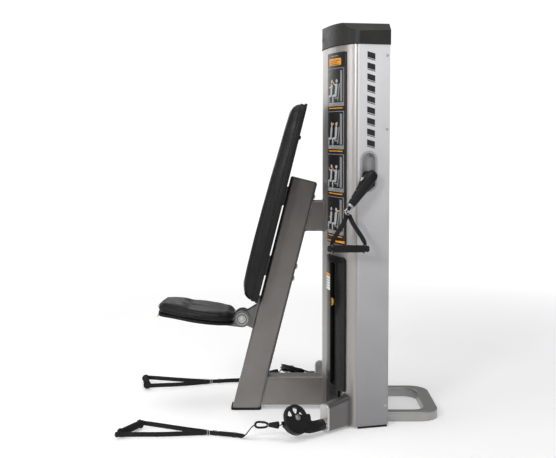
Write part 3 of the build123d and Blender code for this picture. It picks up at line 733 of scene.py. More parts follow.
def bow_patch(name, x0, x1, z0, z1, off0, off1, rt, rb, mat, body="base", crown=0.0, edge=0.0015, nx=14, dz=0.02, slot=None, notch=None):
    """A sheet lying on the bowed front, with rounded corners (rt at the top, rb at the bottom), a soft edge and an optional crown and slot."""
    zs = set()
    z = z0
    while z < z1:
        zs.add(round(z, 5))
        z += dz
    zs.add(z1)
    for r, zc, sgn in ((rt, z1, -1), (rb, z0, 1)):
        for k in range(9):
            if r > 0:
                zs.add(round(zc + sgn * r * (1 - math.cos(math.pi / 2 * k / 8)), 5))
    for k in (0, 1):
        zs.add(round((z0, z1)[k] + (edge if k == 0 else -edge), 5))
    if slot:
        sx0, sx1, sz0, sz1 = slot
        zs |= {sz0, sz1}
    if notch:
        zs |= {notch[1], notch[1] - 0.002}
    zs = sorted(zs)
    zs = [zz for i, zz in enumerate(zs) if i == 0 or zz - zs[i - 1] > 1e-4]

    def inset(zz):
        i = 0.0
        if rt > 0 and z1 - zz < rt:
            i = max(i, rt - math.sqrt(max(0, rt * rt - (rt - (z1 - zz)) ** 2)))
        if rb > 0 and zz - z0 < rb:
            i = max(i, rb - math.sqrt(max(0, rb * rb - (rb - (zz - z0)) ** 2)))
        return i

    cols = []
    if slot:
        na = max(3, nx // 2)
        fr = [("a", k / na) for k in range(na)] + [("s", 0.0), ("s", 1.0)] + [("b", (k + 1) / na) for k in range(na)]
    else:
        fr = [("u", k / nx) for k in range(nx + 1)]
    # add edge columns for a soft rim
    verts, faces, idx = [], [], {}

    def xpos(f, zz):
        i = inset(zz)
        a, b = x0 + i, x1 - i
        if notch and zz < notch[1] - 0.0001:
            if x0 > 0:
                b = min(b, notch[0])
            else:
                a = max(a, -notch[0])
        kind, t = f
        if kind == "u":
            return a + (b - a) * t
        if kind == "a":
            return a + (slot[0] - a) * t
        if kind == "s":
            return slot[0] if t == 0 else slot[1]
        return slot[1] + (b - slot[1]) * t

    eps = []
    base = fr[:]
    if edge:
        k0, k1 = fr[0][0], fr[-1][0]
        tt = 0.02
        fr = [fr[0], (k0, tt)] + fr[1:-1] + [(k1, 1 - tt), fr[-1]]
    for j, zz in enumerate(zs):
        for i, f in enumerate(fr):
            x = xpos(f, zz)
            cu = 1 - ((x - (x0 + x1) / 2) / ((x1 - x0) / 2)) ** 2
            cv = min(1.0, (zz - z0) / 0.03, (z1 - zz) / 0.03)
            off = off1 + crown * max(cu, 0) * max(0, cv)
            if edge and (i in (0, len(fr) - 1) or j in (0, len(zs) - 1)):
                off -= edge
            idx[(i, j, 1)] = len(verts)
            verts.append(on_bow(x, zz, off))
            idx[(i, j, 0)] = len(verts)
            verts.append(on_bow(x, zz, off0))
    hole = set()
    for j in range(len(zs) - 1):
        for i in range(len(fr) - 1):
            if slot and fr[i][0] == "s" and fr[i + 1][0] == "s" and zs[j] >= sz0 - 1e-6 and zs[j + 1] <= sz1 + 1e-6:
                hole.add((i, j))
                continue
            faces.append((idx[i, j, 1], idx[i + 1, j, 1], idx[i + 1, j + 1, 1], idx[i, j + 1, 1]))
            faces.append((idx[i, j, 0], idx[i, j + 1, 0], idx[i + 1, j + 1, 0], idx[i + 1, j, 0]))
    for (i, j) in hole:
        faces.append((idx[i, j, 0], idx[i, j + 1, 0], idx[i, j + 1, 1], idx[i, j, 1]))
        faces.append((idx[i + 1, j, 0], idx[i + 1, j, 1], idx[i + 1, j + 1, 1], idx[i + 1, j + 1, 0]))
        if (i, j - 1) not in hole:
            faces.append((idx[i, j, 0], idx[i, j, 1], idx[i + 1, j, 1], idx[i + 1, j, 0]))
        if (i, j + 1) not in hole:
            faces.append((idx[i, j + 1, 0], idx[i + 1, j + 1, 0], idx[i + 1, j + 1, 1], idx[i, j + 1, 1]))
    for j in range(len(zs) - 1):
        for i in (0, len(fr) - 1):
            faces.append((idx[i, j, 0], idx[i, j, 1], idx[i, j + 1, 1], idx[i, j + 1, 0]))
    for i in range(len(fr) - 1):
        for j in (0, len(zs) - 1):
            if (i, min(j, len(zs) - 2)) in hole:
                continue
            faces.append((idx[i, j, 0], idx[i + 1, j, 0], idx[i + 1, j, 1], idx[i, j, 1]))
    return add(name, verts, faces, mat, body, angle=0.7)


def capsule(a, b, r0, r1, seg=7):
    """2-D capsule between a and b."""
    a, b = Vector(a), Vector(b)
    d = (b - a)
    d = d.normalized() if d.length > 1e-9 else Vector((1, 0))
    ang = math.atan2(d.y, d.x)
    pts = []
    for k in range(seg + 1):
        t = ang + math.pi / 2 + math.pi * k / seg
        pts.append((a.x + r0 * math.cos(t), a.y + r0 * math.sin(t)))
    for k in range(seg + 1):
        t = ang - math.pi / 2 + math.pi * k / seg
        pts.append((b.x + r1 * math.cos(t), b.y + r1 * math.sin(t)))
    return pts


def clip_x(poly, x, keep_right):
    """Part of a polygon on one side of the line at x."""
    out = []
    for i in range(len(poly)):
        p, q = poly[i], poly[(i + 1) % len(poly)]
        ip = (p[0] >= x) == keep_right
        iq = (q[0] >= x) == keep_right
        if ip:
            out.append(p)
        if ip != iq and abs(q[0] - p[0]) > 1e-12:
            t = (x - p[0]) / (q[0] - p[0])
            out.append((x, p[1] + (q[1] - p[1]) * t))
    return out


def decal(parts, poly, off, mat, thick=0.0003, s=1.0):
    """Flat printed shape on the bowed placard; poly is (x, z) with x across the board, 0.114 in its middle."""
    poly = [((0.2105 + (x - 0.114) * 1.42) * s, z) for x, z in poly]
    lo, hi = min(p[0] for p in poly), max(p[0] for p in poly)
    k0, k1 = math.floor(lo / 0.006), math.ceil(hi / 0.006)
    verts, faces = [], []
    for k in range(k0, k1):
        q = clip_x(clip_x(poly, k * 0.006, True), (k + 1) * 0.006, False)
        n = len(q)
        if n < 3 or max(p[0] for p in q) - min(p[0] for p in q) < 1e-5:
            continue
        o = len(verts)
        verts += [on_bow(x, z, off) for x, z in q] + [on_bow(x, z, off + thick) for x, z in q]
        faces += [tuple(o + i for i in range(n)), tuple(o + i for i in range(2 * n - 1, n - 1, -1))]
        faces += [(o + i, o + (i + 1) % n, o + n + (i + 1) % n, o + n + i) for i in range(n)]
    parts.append(add("decal_tmp", verts, faces, mat, None, smooth=False))


def rect(x0, x1, z0, z1):
    return [(x0, z0), (x1, z0), (x1, z1), (x0, z1)]


# ------------------------------------------------------------------ tower
cad("side_panel_right", "side", 0.0008)
cad("side_panel_left", "side", 0.0008)
cad("rear_panel", "side", 0.0008)
cad("front_panel", "front", 0.0008)
cad("top_cap", "cap", 0.004, 3, 22)
cad("tower_feet", "rubber", 0.001)
cad("tower_frame", "inner", 0.001)
cad("guide_rods", "chrome")
cad("weight_plates", "iron", 0.001)
cad("stack_bumpers", "rubber", 0.001)
cad("top_axles", "zinc")
cad("side_recesses", "recess", 0.001)
for side, s in SIDES:
    cad("lifted_plates_" + side, "iron", 0.001)
    cad("lift_head_" + side, "zinc", 0.001)
    cad("top_pulley_" + side, "nylon", 0.0008)

# cap: parting line and a raised blank oval badge with a black inlay
cap_lo, cap_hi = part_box("top_cap")
line = []
for k in range(61):
    x = -0.334 + 0.668 * k / 60
    line.append(on_bow(x * 0.985, 1.7405, 0.0032))
sweep("cap_parting_line", line, [(-0.0012, -0.0012), (0.0012, -0.0012), (0.0012, 0.0012), (-0.0012, 0.0012)], "rubber", "base", lat=Vector((0, 0, 1)))
badge = []
for k in range(28):
    a = 2 * math.pi * k / 28
    badge.append((0.052 * math.cos(a), 1.788 + 0.019 * math.sin(a)))
prism("cap_badge", badge, lambda u, v, t: on_bow(u, v, 0.0024 + t), 0.0, 0.0014, "cap", "base", 0.0005)
inner = [(u * 0.72, 1.788 + (v - 1.788) * 0.62) for u, v in badge]
prism("cap_badge_inlay", inner, lambda u, v, t: on_bow(u, v, 0.0036 + t), 0.0, 0.0007, "black", "base", 0.0003)

# placards: black sheet, title block, four picture fields, separator bars and the wedge at the bottom
for side, s in SIDES:
    pl = bow_patch("placard_sheet_" + side, min(s * 0.124, s * 0.297), max(s * 0.124, s * 0.297), 0.835, 1.710, 0.0002, 0.0052, 0.006, 0.006, "pblack", edge=0.0008, nx=30, dz=0.03)
    parts = []
    o0 = 0.0053
    decal(parts, round_poly(rect(0.074, 0.154, 1.652, 1.684), 0.004), o0, "orange", s=s)
    for k in range(3):
        decal(parts, rect(0.082, 0.146 - 0.012 * (k % 2), 1.675 - k * 0.0085 - 0.003, 1.675 - k * 0.0085), o0 + 0.0003, "pblack", 0.0002, s=s)
    decal(parts, rect(0.090, 0.138, 1.693, 1.697), o0, "pgrey", s=s)
    top = 1.640
    H = 0.186
    for p in range(4):
        z1 = top - p * (H + 0.010)
        z0 = z1 - H
        # field
        decal(parts, round_poly(rect(0.060, 0.168, z0 + 0.012, z1), 0.004), o0, "pgrey", 0.0002, s=s)
        decal(parts, round_poly(rect(0.063, 0.165, z0 + 0.030, z1 - 0.003), 0.003), o0 + 0.0002, "pblack", 0.0002, s=s)
        # machine outline
        o1 = o0 + 0.0004
        decal(parts, rect(0.150, 0.160, z0 + 0.034, z1 - 0.012), o1, "pgrey", s=s)
        decal(parts, capsule((0.118, z0 + 0.050), (0.140, z0 + 0.050), 0.003, 0.003), o1, "pgrey", s=s)
        decal(parts, capsule((0.138, z0 + 0.040), (0.146, z0 + 0.112), 0.003, 0.003), o1, "pgrey", s=s)
        # two abstract figures: start and end of the movement
        for fx, arm in ((0.078, 0), (0.112, 1)):
            hipx, hipz = fx + 0.012, z0 + 0.062
            shx, shz = fx + 0.017, z0 + 0.108
            decal(parts, capsule((hipx, hipz), (shx, shz), 0.0062, 0.0075), o1 + 0.0001, "plight", s=s)
            decal(parts, [(shx + 0.001 + 0.0068 * math.cos(t * math.pi / 6), shz + 0.019 + 0.0080 * math.sin(t * math.pi / 6)) for t in range(12)], o1 + 0.0001, "plight", s=s)
            decal(parts, capsule((hipx, hipz), (hipx - 0.020, hipz - 0.002), 0.0055, 0.0045), o1 + 0.0001, "plight", s=s)
            decal(parts, capsule((hipx - 0.020, hipz - 0.002), (hipx - 0.019, hipz - 0.028), 0.0042, 0.0034), o1 + 0.0001, "plight", s=s)
            ang = [(-0.6, 0.3), (1.9, 1.5), (0.2, 0.1), (-1.2, 2.2)][p][arm]
            ex, ez = shx - 0.016 * math.cos(ang), shz + 0.016 * math.sin(ang)
            decal(parts, capsule((shx, shz), (ex, ez), 0.0036, 0.0032), o1 + 0.0003, "plight", s=s)
            decal(parts, capsule((ex, ez), (ex - 0.012 * math.cos(ang + 0.7), ez + 0.012 * math.sin(ang + 0.7)), 0.0030, 0.0026), o1 + 0.0003, "orange", s=s)
        # caption bar under the field, without lettering
        decal(parts, rect(0.070, 0.162, z0 + 0.001, z0 + 0.0055), o0, "orange", s=s)
        for q in range(3):
            decal(parts, rect(0.068, 0.120 - 0.014 * q, z0 + 0.024 - q * 0.0055, z0 + 0.0262 - q * 0.0055), o0 + 0.0004, "plight", 0.0002, s=s)
    decal(parts, [(0.056, 0.842), (0.172, 0.842), (0.172, 0.853), (0.120, 0.849), (0.056, 0.845)], o0, "orange", 0.0004, s=s)
    pr = join("placard_print_" + side, parts, "base")
    if s > 0:
        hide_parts("placards")

# stack shrouds: convex gloss cover with a selector slot, its rim and a blank label
for side, s in SIDES:
    x0, x1 = min(s * 0.124, s * 0.297), max(s * 0.124, s * 0.297)
    c = s * 0.220
    sh = bow_patch("stack_shroud_" + side, x0, x1, 0.062, 0.777, 0.0008, 0.0085, 0.019, 0.012, "gloss", crown=0.0070, edge=0.0025, nx=28, dz=0.02,
                   slot=(c - 0.0212, c + 0.0212, 0.176, 0.748), notch=(0.262, 0.160))
    if s > 0:
        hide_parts("stack_shrouds")
    rim = round_poly([(c - 0.0225, 0.1745), (c + 0.0225, 0.1745), (c + 0.0225, 0.7495), (c - 0.0225, 0.7495)], 0.010)
    path = []
    for i in range(len(rim)):
        a, b = rim[i], rim[(i + 1) % len(rim)]
        n = max(1, int(math.hypot(b[0] - a[0], b[1] - a[1]) / 0.02))
        for k in range(n):
            path.append(on_bow(a[0] + (b[0] - a[0]) * k / n, a[1] + (b[1] - a[1]) * k / n, 0.0148))
    sweep("shroud_slot_rim_" + side, path, circle(0.0016, 8), "black", "base", closed=True)
    lab = []
    lx0, lx1 = (0.133, 0.192)

    def on_sh(x, z, o):
        cu = 1 - ((x - (x0 + x1) / 2) / ((x1 - x0) / 2)) ** 2
        return on_bow(x, z, 0.0086 + 0.0070 * cu + o)

    def patch(z0, z1, o, mat, th=0.0003):
        n = 12
        verts, faces = [], []
        for t in (0, th):
            for k in range(n + 1):
                x = s * (lx0 + (lx1 - lx0) * k / n)
                verts.append(on_sh(x, z0, o + t))
                verts.append(on_sh(x, z1, o + t))
        m = 2 * (n + 1)
        for k in range(n):
            a = 2 * k
            faces.append((a, a + 2, a + 3, a + 1))
            faces.append((m + a, m + a + 1, m + a + 3, m + a + 2))
            faces.append((a, a + 2, m + a + 2, m + a))
            faces.append((a + 1, a + 3, m + a + 3, m + a + 1))
        faces.append((0, 1, m + 1, m))
        faces.append((2 * n, 2 * n + 1, m + 2 * n + 1, m + 2 * n))
        lab.append(add("lab_tmp", verts, faces, mat, None, smooth=False))

    patch(0.612, 0.690, 0.0001, "pwhite")
    patch(0.674, 0.690, 0.0005, "orange")
    for k in range(4):
        zz = 0.664 - k * 0.012
        patch(zz - 0.0026, zz, 0.0005, "pgrey", 0.0002)
    join("shroud_label_" + side, lab, "base")

    # selector pin and its knob
    lo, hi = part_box("selector_pin_" + side)
    zc = (lo[2] + hi[2]) / 2
    y1, y0 = hi[1], lo[1]
    prof = [(0.0, 0.0), (0.0040, 0.0), (0.00445, 0.002), (0.00445, y1 + 0.0955), (0.0125, y1 + 0.0962), (0.0160, y1 + 0.0985), (0.0145, y1 + 0.1030),
            (0.0178, y1 + 0.1075), (0.0189, y1 + 0.1120), (0.0182, y1 + 0.1155), (0.0150, y1 + 0.1176), (0.0060, y1 + 0.1170), (0.0, y1 + 0.1168)]
    kn = lathe("selector_knob_" + side, prof, (c, y1, zc), (0, -1, 0), "black", None, 36, angle=0.9)
    ky = lathe("selector_ring_tmp", [(0.0150, y1 + 0.1029), (0.0182, y1 + 0.1078), (0.0190, y1 + 0.1108), (0.0183, y1 + 0.1112), (0.0172, y1 + 0.1080), (0.0146, y1 + 0.1034)], (c, y1, zc), (0, -1, 0), "yellow", None, 36, closed=True, angle=0.9)
    kw = lathe("selector_dot_tmp", [(0.0, y1 + 0.1165), (0.0052, y1 + 0.1168), (0.0046, y1 + 0.1176), (0.0, y1 + 0.1178)], (c, y1, zc), (0, -1, 0), "zinc", None, 24, angle=0.9)
    kn = join("selector_knob_" + side, [kn, ky, kw], "pin_" + side)
    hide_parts("selector_pin_" + side)
    # lift cable, fixed at the pulley end
    clo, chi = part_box("lift_cable_" + side)
    L = chi[2] - clo[2]
    segs = 60
    verts, faces = [], []
    for i in range(segs + 1):
        zz = clo[2] + L * i / segs
        for k in range(8):
            a = 2 * math.pi * k / 8 + i * 0.5
            verts.append(Vector((c + 0.0029 * math.cos(a), 0.0029 * math.sin(a), zz)))
    for i in range(segs):
        for k in range(8):
            faces.append((i * 8 + k, i * 8 + (k + 1) % 8, (i + 1) * 8 + (k + 1) % 8, (i + 1) * 8 + k))
    faces.append(tuple(range(8)))
    faces.append(tuple(segs * 8 + k for k in reversed(range(8))))
    ca = add("lift_cable_rope_" + side, verts, faces, "zinc", "base")
    ca["side"] = side
    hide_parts("lift_cable_" + side)
    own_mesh(ca)

# generic graphic on the side panels: a thin stripe with plain slanted bars
PX, PY = 0.336 - 0.037 * 38.0 / 135.0, 0.048
PNV = Vector((135.0, 37.0, 0)).normalized()


def on_side(y, z, off, s):
    t = (y - 0.010) / 0.135
    v = Vector((0.336 - 0.037 * t, y, z)) + PNV * off
    return Vector((s * v.x, v.y, v.z))


for side, s in SIDES:
    parts = []

    def sd(poly, mat, o=0.0002, th=0.0003):
        n = len(poly)
        verts = [on_side(u, v, o, s) for u, v in poly] + [on_side(u, v, o + th, s) for u, v in poly]
        faces = [tuple(range(n)), tuple(range(2 * n - 1, n - 1, -1))] + [(k, (k + 1) % n, n + (k + 1) % n, n + k) for k in range(n)]
        parts.append(add("sd_tmp", verts, faces, mat, None, smooth=False))

    for k in range(9):
        z1 = 1.712 - k * 0.049
        w = 0.036
        sd([(0.040, z1 - 0.030), (0.040 + w, z1 - 0.040), (0.040 + w, z1 - 0.014), (0.040, z1 - 0.004)], "pblack")
        sd([(0.040, z1 - 0.036), (0.040 + w, z1 - 0.046), (0.040 + w, z1 - 0.0425), (0.040, z1 - 0.0325)], "pblack")
    join("side_graphic_" + side, parts, "base")
    # countersunk screws along the rear edge of the side panel
    sc = []
    for z in (0.10, 0.62, 1.36, 1.69):
        p = on_side(0.132, z, 0.0002, s)
        n = Vector((s * PNV.x, PNV.y, 0))
        sc.append(lathe("sc_tmp", [(0.0, 0.0), (0.0062, 0.0), (0.0060, 0.0012), (0.0042, 0.0019), (0.0022, 0.0019), (0.0020, 0.0008), (0.0, 0.0008)], p, n, "zinc", None, 20))
    join("side_panel_screws_" + side, sc, "base")
# rear panel screws
sc = []
for x in (-0.27, 0.27):
    for z in (0.12, 0.66, 1.20, 1.70):
        sc.append(lathe("sc_tmp", [(0.0, 0.0), (0.0066, 0.0), (0.0064, 0.0014), (0.0044, 0.0022), (0.0022, 0.0022), (0.0020, 0.0010), (0.0, 0.0010)], (x, 0.1452, z), (0, 1, 0), "zinc", None, 20))
join("rear_panel_screws", sc, "base")


# ------------------------------------------------------------------ seat frame
TILT = math.radians(14.2)
POST_O = Vector((0, -0.5175, 0))


def post(x, p, t):
    """Point in the frame of the post: x lateral, p fore-aft, t along the post, in metres."""
    return POST_O + Vector((x, p * math.cos(TILT) + t * math.sin(TILT), -p * math.sin(TILT) + t * math.cos(TILT)))


def pdir(x, p, t):
    return post(x, p, t) - POST_O


cad("seat_post", "bronze", 0.0)
cad("base_beam", "bronze", 0.0)
cad("upper_bracket", "bronze", 0.0)
cad("post_foot", "rubber", 0.0015)
cad("hinge_bracket", "hinge", 0.0012)
cad("seat_arm", "hinge", 0.0015)
cad("seat_board", "board", 0.0015)
cad("back_board", "board", 0.002)
cad("back_mounts", "inner", 0.001)
cad("rear_hoop", "hoop", 0.0)

# post cap plate with a shadow gap
capo = round_poly([(-0.0465, -0.0615), (0.0465, -0.0615), (0.0465, 0.0615), (-0.0465, 0.0615)], 0.012, 6)
prism("post_cap_plate", capo, lambda u, v, t: post(u, v, 1.150 + t), 0.0002, 0.0045, "bronze", "base", 0.0012)


def ring_on_plane(hx, h0, h1, r, to3, n=10):
    poly = round_poly([(-hx, h0), (hx, h0), (hx, h1), (-hx, h1)], r, 6)
    pts = []
    for i in range(len(poly)):
        a, b = poly[i], poly[(i + 1) % len(poly)]
        m = max(1, int(math.hypot(b[0] - a[0], b[1] - a[1]) / 0.0022))
        for k in range(m):
            pts.append(to3(a[0] + (b[0] - a[0]) * k / m, a[1] + (b[1] - a[1]) * k / m))
    return pts


def post_rear(x, z):
    """Point on the rear face of the post at height z."""
    t = (z + 0.065 * math.sin(TILT)) / math.cos(TILT)
    q = post(x, 0.0655, t)
    return q


weld("weld_beam_post", ring_on_plane(0.0415, 0.0205, 0.1615, 0.010, post_rear), "base", closed=True)
weld("weld_bracket_post", ring_on_plane(0.0415, 0.8725, 1.0175, 0.010, post_rear), "base", closed=True, seed=2)
weld("weld_beam_tower", ring_on_plane(0.0415, 0.0205, 0.1615, 0.010, lambda x, z: on_bow(x, z, 0.001)), "base", closed=True, seed=3)
weld("weld_bracket_tower", ring_on_plane(0.0415, 0.8725, 1.0175, 0.010, lambda x, z: on_bow(x, z, 0.001)), "base", closed=True, seed=4)

# hinge pin with hex heads and washers
lo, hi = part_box("hinge_pin")
py, pz = -0.5355, 0.445
parts = [lathe("hp", [(0.0, -0.050), (0.00795, -0.050), (0.00795, 0.050), (0.0, 0.050)], (0, py, pz), (1, 0, 0), "zinc", None, 24)]
for s in (1, -1):
    parts.append(lathe("hp", [(0.0, 0.0482), (0.0185, 0.0482), (0.0185, 0.0500), (0.0, 0.0500)], (0, py, pz), (s, 0, 0), "zinc", None, 28))
    parts.append(hexhead("hp" + str(s), (s * 0.0500, py, pz), (s, 0, 0), 0.0125, 0.0075, "zinc", "base"))
hp = join("hinge_pin_bolt", parts, "base")
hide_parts("hinge_pin")
# seat frame coordinates (7 degrees, front edge up)
SA = math.radians(7.0)
SP = Vector((0, py, pz))


def seat(x, y, z):
    """Point in the seat frame, metres: y towards the rear, z normal to the seat."""
    return SP + Vector((x, y * math.cos(SA) + z * math.sin(SA), -y * math.sin(SA) + z * math.cos(SA)))


for s in (1, -1):
    # raised boss rings on the cheek discs
    lathe("cheek_ring_" + ("r" if s > 0 else "l"), [(0.0245, 0.0), (0.0250, 0.0012), (0.0300, 0.0012), (0.0305, 0.0)], (s * 0.0481, py, pz), (s, 0, 0), "hoop", "seat", 40, closed=True)
# bolts of the hinge bracket
sb = []
for x in (-0.020, 0.020):
    for t in (0.425, 0.525):
        sb.append(hexhead("hb", post(x, -0.073, t), pdir(0, -1, 0), 0.0085, 0.0055, "zinc", "base", 0.0015))
join("hinge_bracket_bolts", sb, "base")
# seat board bolts
sb = []
for x in (-0.034, 0.034):
    for y in (-0.150, -0.262):
        sb.append(hexhead("bb", seat(x, y, -0.0402), seat(0, 0, -1) - SP, 0.0075, 0.005, "zinc", "seat", 0.0012))
join("seat_arm_bolts", sb, "seat")

# release lever: bent yellow tab under the front edge
lev = []
sec = []
path = [seat(0, -0.350, -0.027), seat(0, -0.372, -0.0275), seat(0, -0.395, -0.0278), seat(0, -0.4055, -0.0300), seat(0, -0.4095, -0.0350), seat(0, -0.4105, -0.0410), seat(0, -0.4100, -0.0455)]
pth = smooth_path(path, 0.003)
w0 = 0.0155
tab = [(-w0, -0.0016), (-w0 + 0.002, -0.0020), (w0 - 0.002, -0.0020), (w0, -0.0016), (w0, 0.0016), (w0 - 0.002, 0.0020), (-w0 + 0.002, 0.0020), (-w0, 0.0016)]
lev.append(sweep("lv", pth, tab, "yellow", None, lat=Vector((1, 0, 0))))
lev.append(lathe("lv", [(0.0, -0.0155), (0.0040, -0.0155), (0.0046, -0.015), (0.0046, 0.015), (0.0040, 0.0155), (0.0, 0.0155)], seat(0, -0.350, -0.027), (1, 0, 0), "zinc", None, 20))
lv = join("seat_release_tab", lev, "seat_lever")
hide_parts("seat_lever")


# ------------------------------------------------------------------ cushions
def interp(table, v):
    if v <= table[0][0]:
        return table[0][1]
    for (a, fa), (b, fb) in zip(table[:-1], table[1:]):
        if v <= b:
            t = (v - a) / (b - a)
            t = t * t * (3 - 2 * t) * 0.5 + t * 0.5
            return fa + (fb - fa) * t
    return table[-1][1]


def outline_ring(pts, n):
    """Closed smooth outline from control points, n samples evenly spaced."""
    P = [Vector((p[0], p[1])) for p in pts]
    m = len(P)
    dense = []
    for i in range(m):
        a, b, c, d = P[i - 1], P[i], P[(i + 1) % m], P[(i + 2) % m]
        for k in range(24):
            t = k / 24
            dense.append(0.5 * ((2 * b) + (c - a) * t + (2 * a - 5 * b + 4 * c - d) * t * t + (3 * b - a - 3 * c + d) * t ** 3))
    L = [0.0]
    for i in range(len(dense)):
        L.append(L[-1] + (dense[(i + 1) % len(dense)] - dense[i]).length)
    out = []
    j = 0
    for k in range(n):
        want = L[-1] * k / n
        while L[j + 1] < want:
            j += 1
        t = (want - L[j]) / (L[j + 1] - L[j])
        out.append(dense[j].lerp(dense[(j + 1) % len(dense)], t))
    return out


def pad_mesh(name, ring, levels, to3, top_rows, height):
    """Closed cushion body: side wall rings given by levels (inset, height), then inward rows up to a crowned top. height(x, y, f) is the top surface."""
    n = len(ring)
    c = sum(ring, Vector((0, 0))) / n
    nrm = []
    for i in range(n):
        d = (ring[(i + 1) % n] - ring[i - 1]).normalized()
        v = Vector((d.y, -d.x))
        if v.dot(ring[i] - c) < 0:
            v = -v
        nrm.append(v)
    verts, faces = [], []
    rows = 0
    for inset, h in levels:
        for i in range(n):
            q = ring[i] - nrm[i] * inset
            hh = h(q.x, q.y) if callable(h) else h
            verts.append(to3(q.x, q.y, hh))
        rows += 1
    last = levels[-1][0]
    for r in range(1, top_rows):
        f = r / top_rows
        for i in range(n):
            q = ring[i] - nrm[i] * last
            spine = Vector((c.x, max(min(q.y, c.y + 0.8 * (max(p.y for p in ring) - c.y)), c.y - 0.8 * (c.y - min(p.y for p in ring)))))
            q = q.lerp(spine, f)
            verts.append(to3(q.x, q.y, height(q.x, q.y, f)))
        rows += 1
    for r in range(rows - 1):
        for i in range(n):
            j = (i + 1) % n
            faces.append((r * n + i, r * n + j, (r + 1) * n + j, (r + 1) * n + i))
    faces.append(tuple(range(n - 1, -1, -1)))
    faces.append(tuple((rows - 1) * n + i for i in range(n)))
    return add(name, verts, faces, "vinyl", None)


def puff(o, pressure, cap, voxel, frames=20, hold=None, gravity=0.0):
    """Remeshes a closed cushion and inflates it a little as cloth. Points where hold() is true stay put; none moves more than cap."""
    bpy.context.view_layer.objects.active = o
    for x in bpy.context.selected_objects:
        x.select_set(False)
    o.select_set(True)
    rm = o.modifiers.new("rm", "REMESH")
    rm.mode = "VOXEL"
    rm.voxel_size = voxel
    bpy.ops.object.modifier_apply(modifier="rm")
    rest = [v.co.copy() for v in o.data.vertices]
    g = o.vertex_groups.new(name="pin")
    for i, c in enumerate(rest):
        if hold and hold(c):
            g.add([i], 1.0, "REPLACE")
    cl = o.modifiers.new("cloth", "CLOTH")
    st = cl.settings
    st.quality = 5
    st.mass = 0.3
    st.tension_stiffness = 18
    st.compression_stiffness = 18
    st.shear_stiffness = 6
    st.bending_stiffness = 0.6
    st.use_pressure = True
    st.uniform_pressure_force = pressure
    st.effector_weights.gravity = gravity
    if hold:
        st.vertex_group_mass = "pin"
    cl.collision_settings.use_collision = False
    cl.point_cache.frame_start = 1
    cl.point_cache.frame_end = frames
    for f in range(1, frames + 1):
        scene.frame_set(f)
    dg = bpy.context.evaluated_depsgraph_get()
    ev = o.evaluated_get(dg).to_mesh()
    new = [v.co.copy() for v in ev.vertices]
    o.evaluated_get(dg).to_mesh_clear()
    o.modifiers.remove(cl)
    for v, a, b in zip(o.data.vertices, rest, new):
        d = b - a
        if d.length > cap:
            d = d * (cap / d.length)
        v.co = a + d
    o.vertex_groups.clear()
    scene.frame_set(1)
    sm = o.modifiers.new("soft", "SMOOTH")
    sm.factor = 0.5
    sm.iterations = 9
    sub = o.modifiers.new("sub", "SUBSURF")
    sub.levels = sub.render_levels = 1
    bpy.ops.object.modifier_apply(modifier="soft")
    bpy.ops.object.modifier_apply(modifier="sub")
    for p in o.data.polygons:
        p.use_smooth = True
    return o


# back pad: outline half-widths along the post, crowned front, flatter base
BACK = [(0.055, 1.500), (0.090, 1.484), (0.105, 1.448), (0.119, 1.340), (0.141, 1.150), (0.143, 0.900), (0.138, 0.700), (0.121, 0.592),
        (0.106, 0.548), (0.078, 0.534)]
ring_pts = [(x, t) for x, t in BACK] + [(-x, t) for x, t in reversed(BACK)]
ringb = outline_ring(ring_pts, 150)
DEPTH = [(0.530, 0.046), (0.548, 0.064), (0.600, 0.0715), (0.690, 0.0740), (0.815, 0.0745), (0.956, 0.0725), (1.071, 0.0695), (1.332, 0.0615), (1.470, 0.0560), (1.505, 0.0530)]


def back_h(x, t, f):
    d = interp(DEPTH, t)
    edge = min(1.0, f / 0.42)
    crown = 1 - (1 - edge) ** 2.2
    return 0.0862 + d * (0.90 + 0.10 * crown)


def bside(k):
    return lambda x, t: 0.0862 + interp(DEPTH, t) * k


lv_ = [(0.010, 0.0866), (0.004, 0.0874), (0.001, 0.0905), (0.0, bside(0.16)), (0.0, bside(0.36)), (0.001, bside(0.55)), (0.004, bside(0.70)), (0.009, bside(0.82)), (0.016, bside(0.90))]
bp = pad_mesh("back_pad_cushion", ringb, lv_, lambda x, t, h: post(x, -h, t), 9, back_h)
bn = pdir(0, -1, 0)
puff(bp, 3.2, 0.005, 0.0055, 16, hold=lambda c: (c - POST_O).dot(bn) < 0.0905)
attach(bp, "base")
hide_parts("back_pad")

# piping between the base shell and the crowned cover, and a base shell behind it
def ring3(ring, to3, inset, h):
    n = len(ring)
    c = sum(ring, Vector((0, 0))) / n
    out = []
    for i in range(n):
        d = (ring[(i + 1) % n] - ring[i - 1]).normalized()
        v = Vector((d.y, -d.x))
        if v.dot(ring[i] - c) < 0:
            v = -v
        q = ring[i] - v * inset
        hh = h(q.x, q.y) if callable(h) else h
        out.append(to3(q.x, q.y, hh))
    return out


to_back = lambda x, t, h: post(x, -h, t)
sweep("back_pad_piping", ring3(ringb, to_back, -0.0022, 0.1045), circle(0.0022, 8), "thread", "base", closed=True)
# moulded shell that wraps the rear third of the cushion
n = len(ringb)
shell = []
for ins, h in ((0.020, 0.0738), (0.002, 0.0738), (-0.0018, 0.0755), (-0.0034, 0.0800), (-0.0034, 0.1010), (-0.0026, 0.1026), (-0.0010, 0.1026), (-0.0004, 0.0990), (-0.0004, 0.0880), (0.020, 0.0864)):
    shell.append(ring3(ringb, to_back, ins, h))
verts = [v for r in shell for v in r]
faces = []
for r in range(len(shell) - 1):
    for i in range(n):
        faces.append((r * n + i, r * n + (i + 1) % n, (r + 1) * n + (i + 1) % n, (r + 1) * n + i))
r = len(shell) - 1
for i in range(n):
    faces.append((r * n + i, r * n + (i + 1) % n, (i + 1) % n, i))
bs = add("back_pad_shell", verts, faces, "board", "base", angle=0.7)

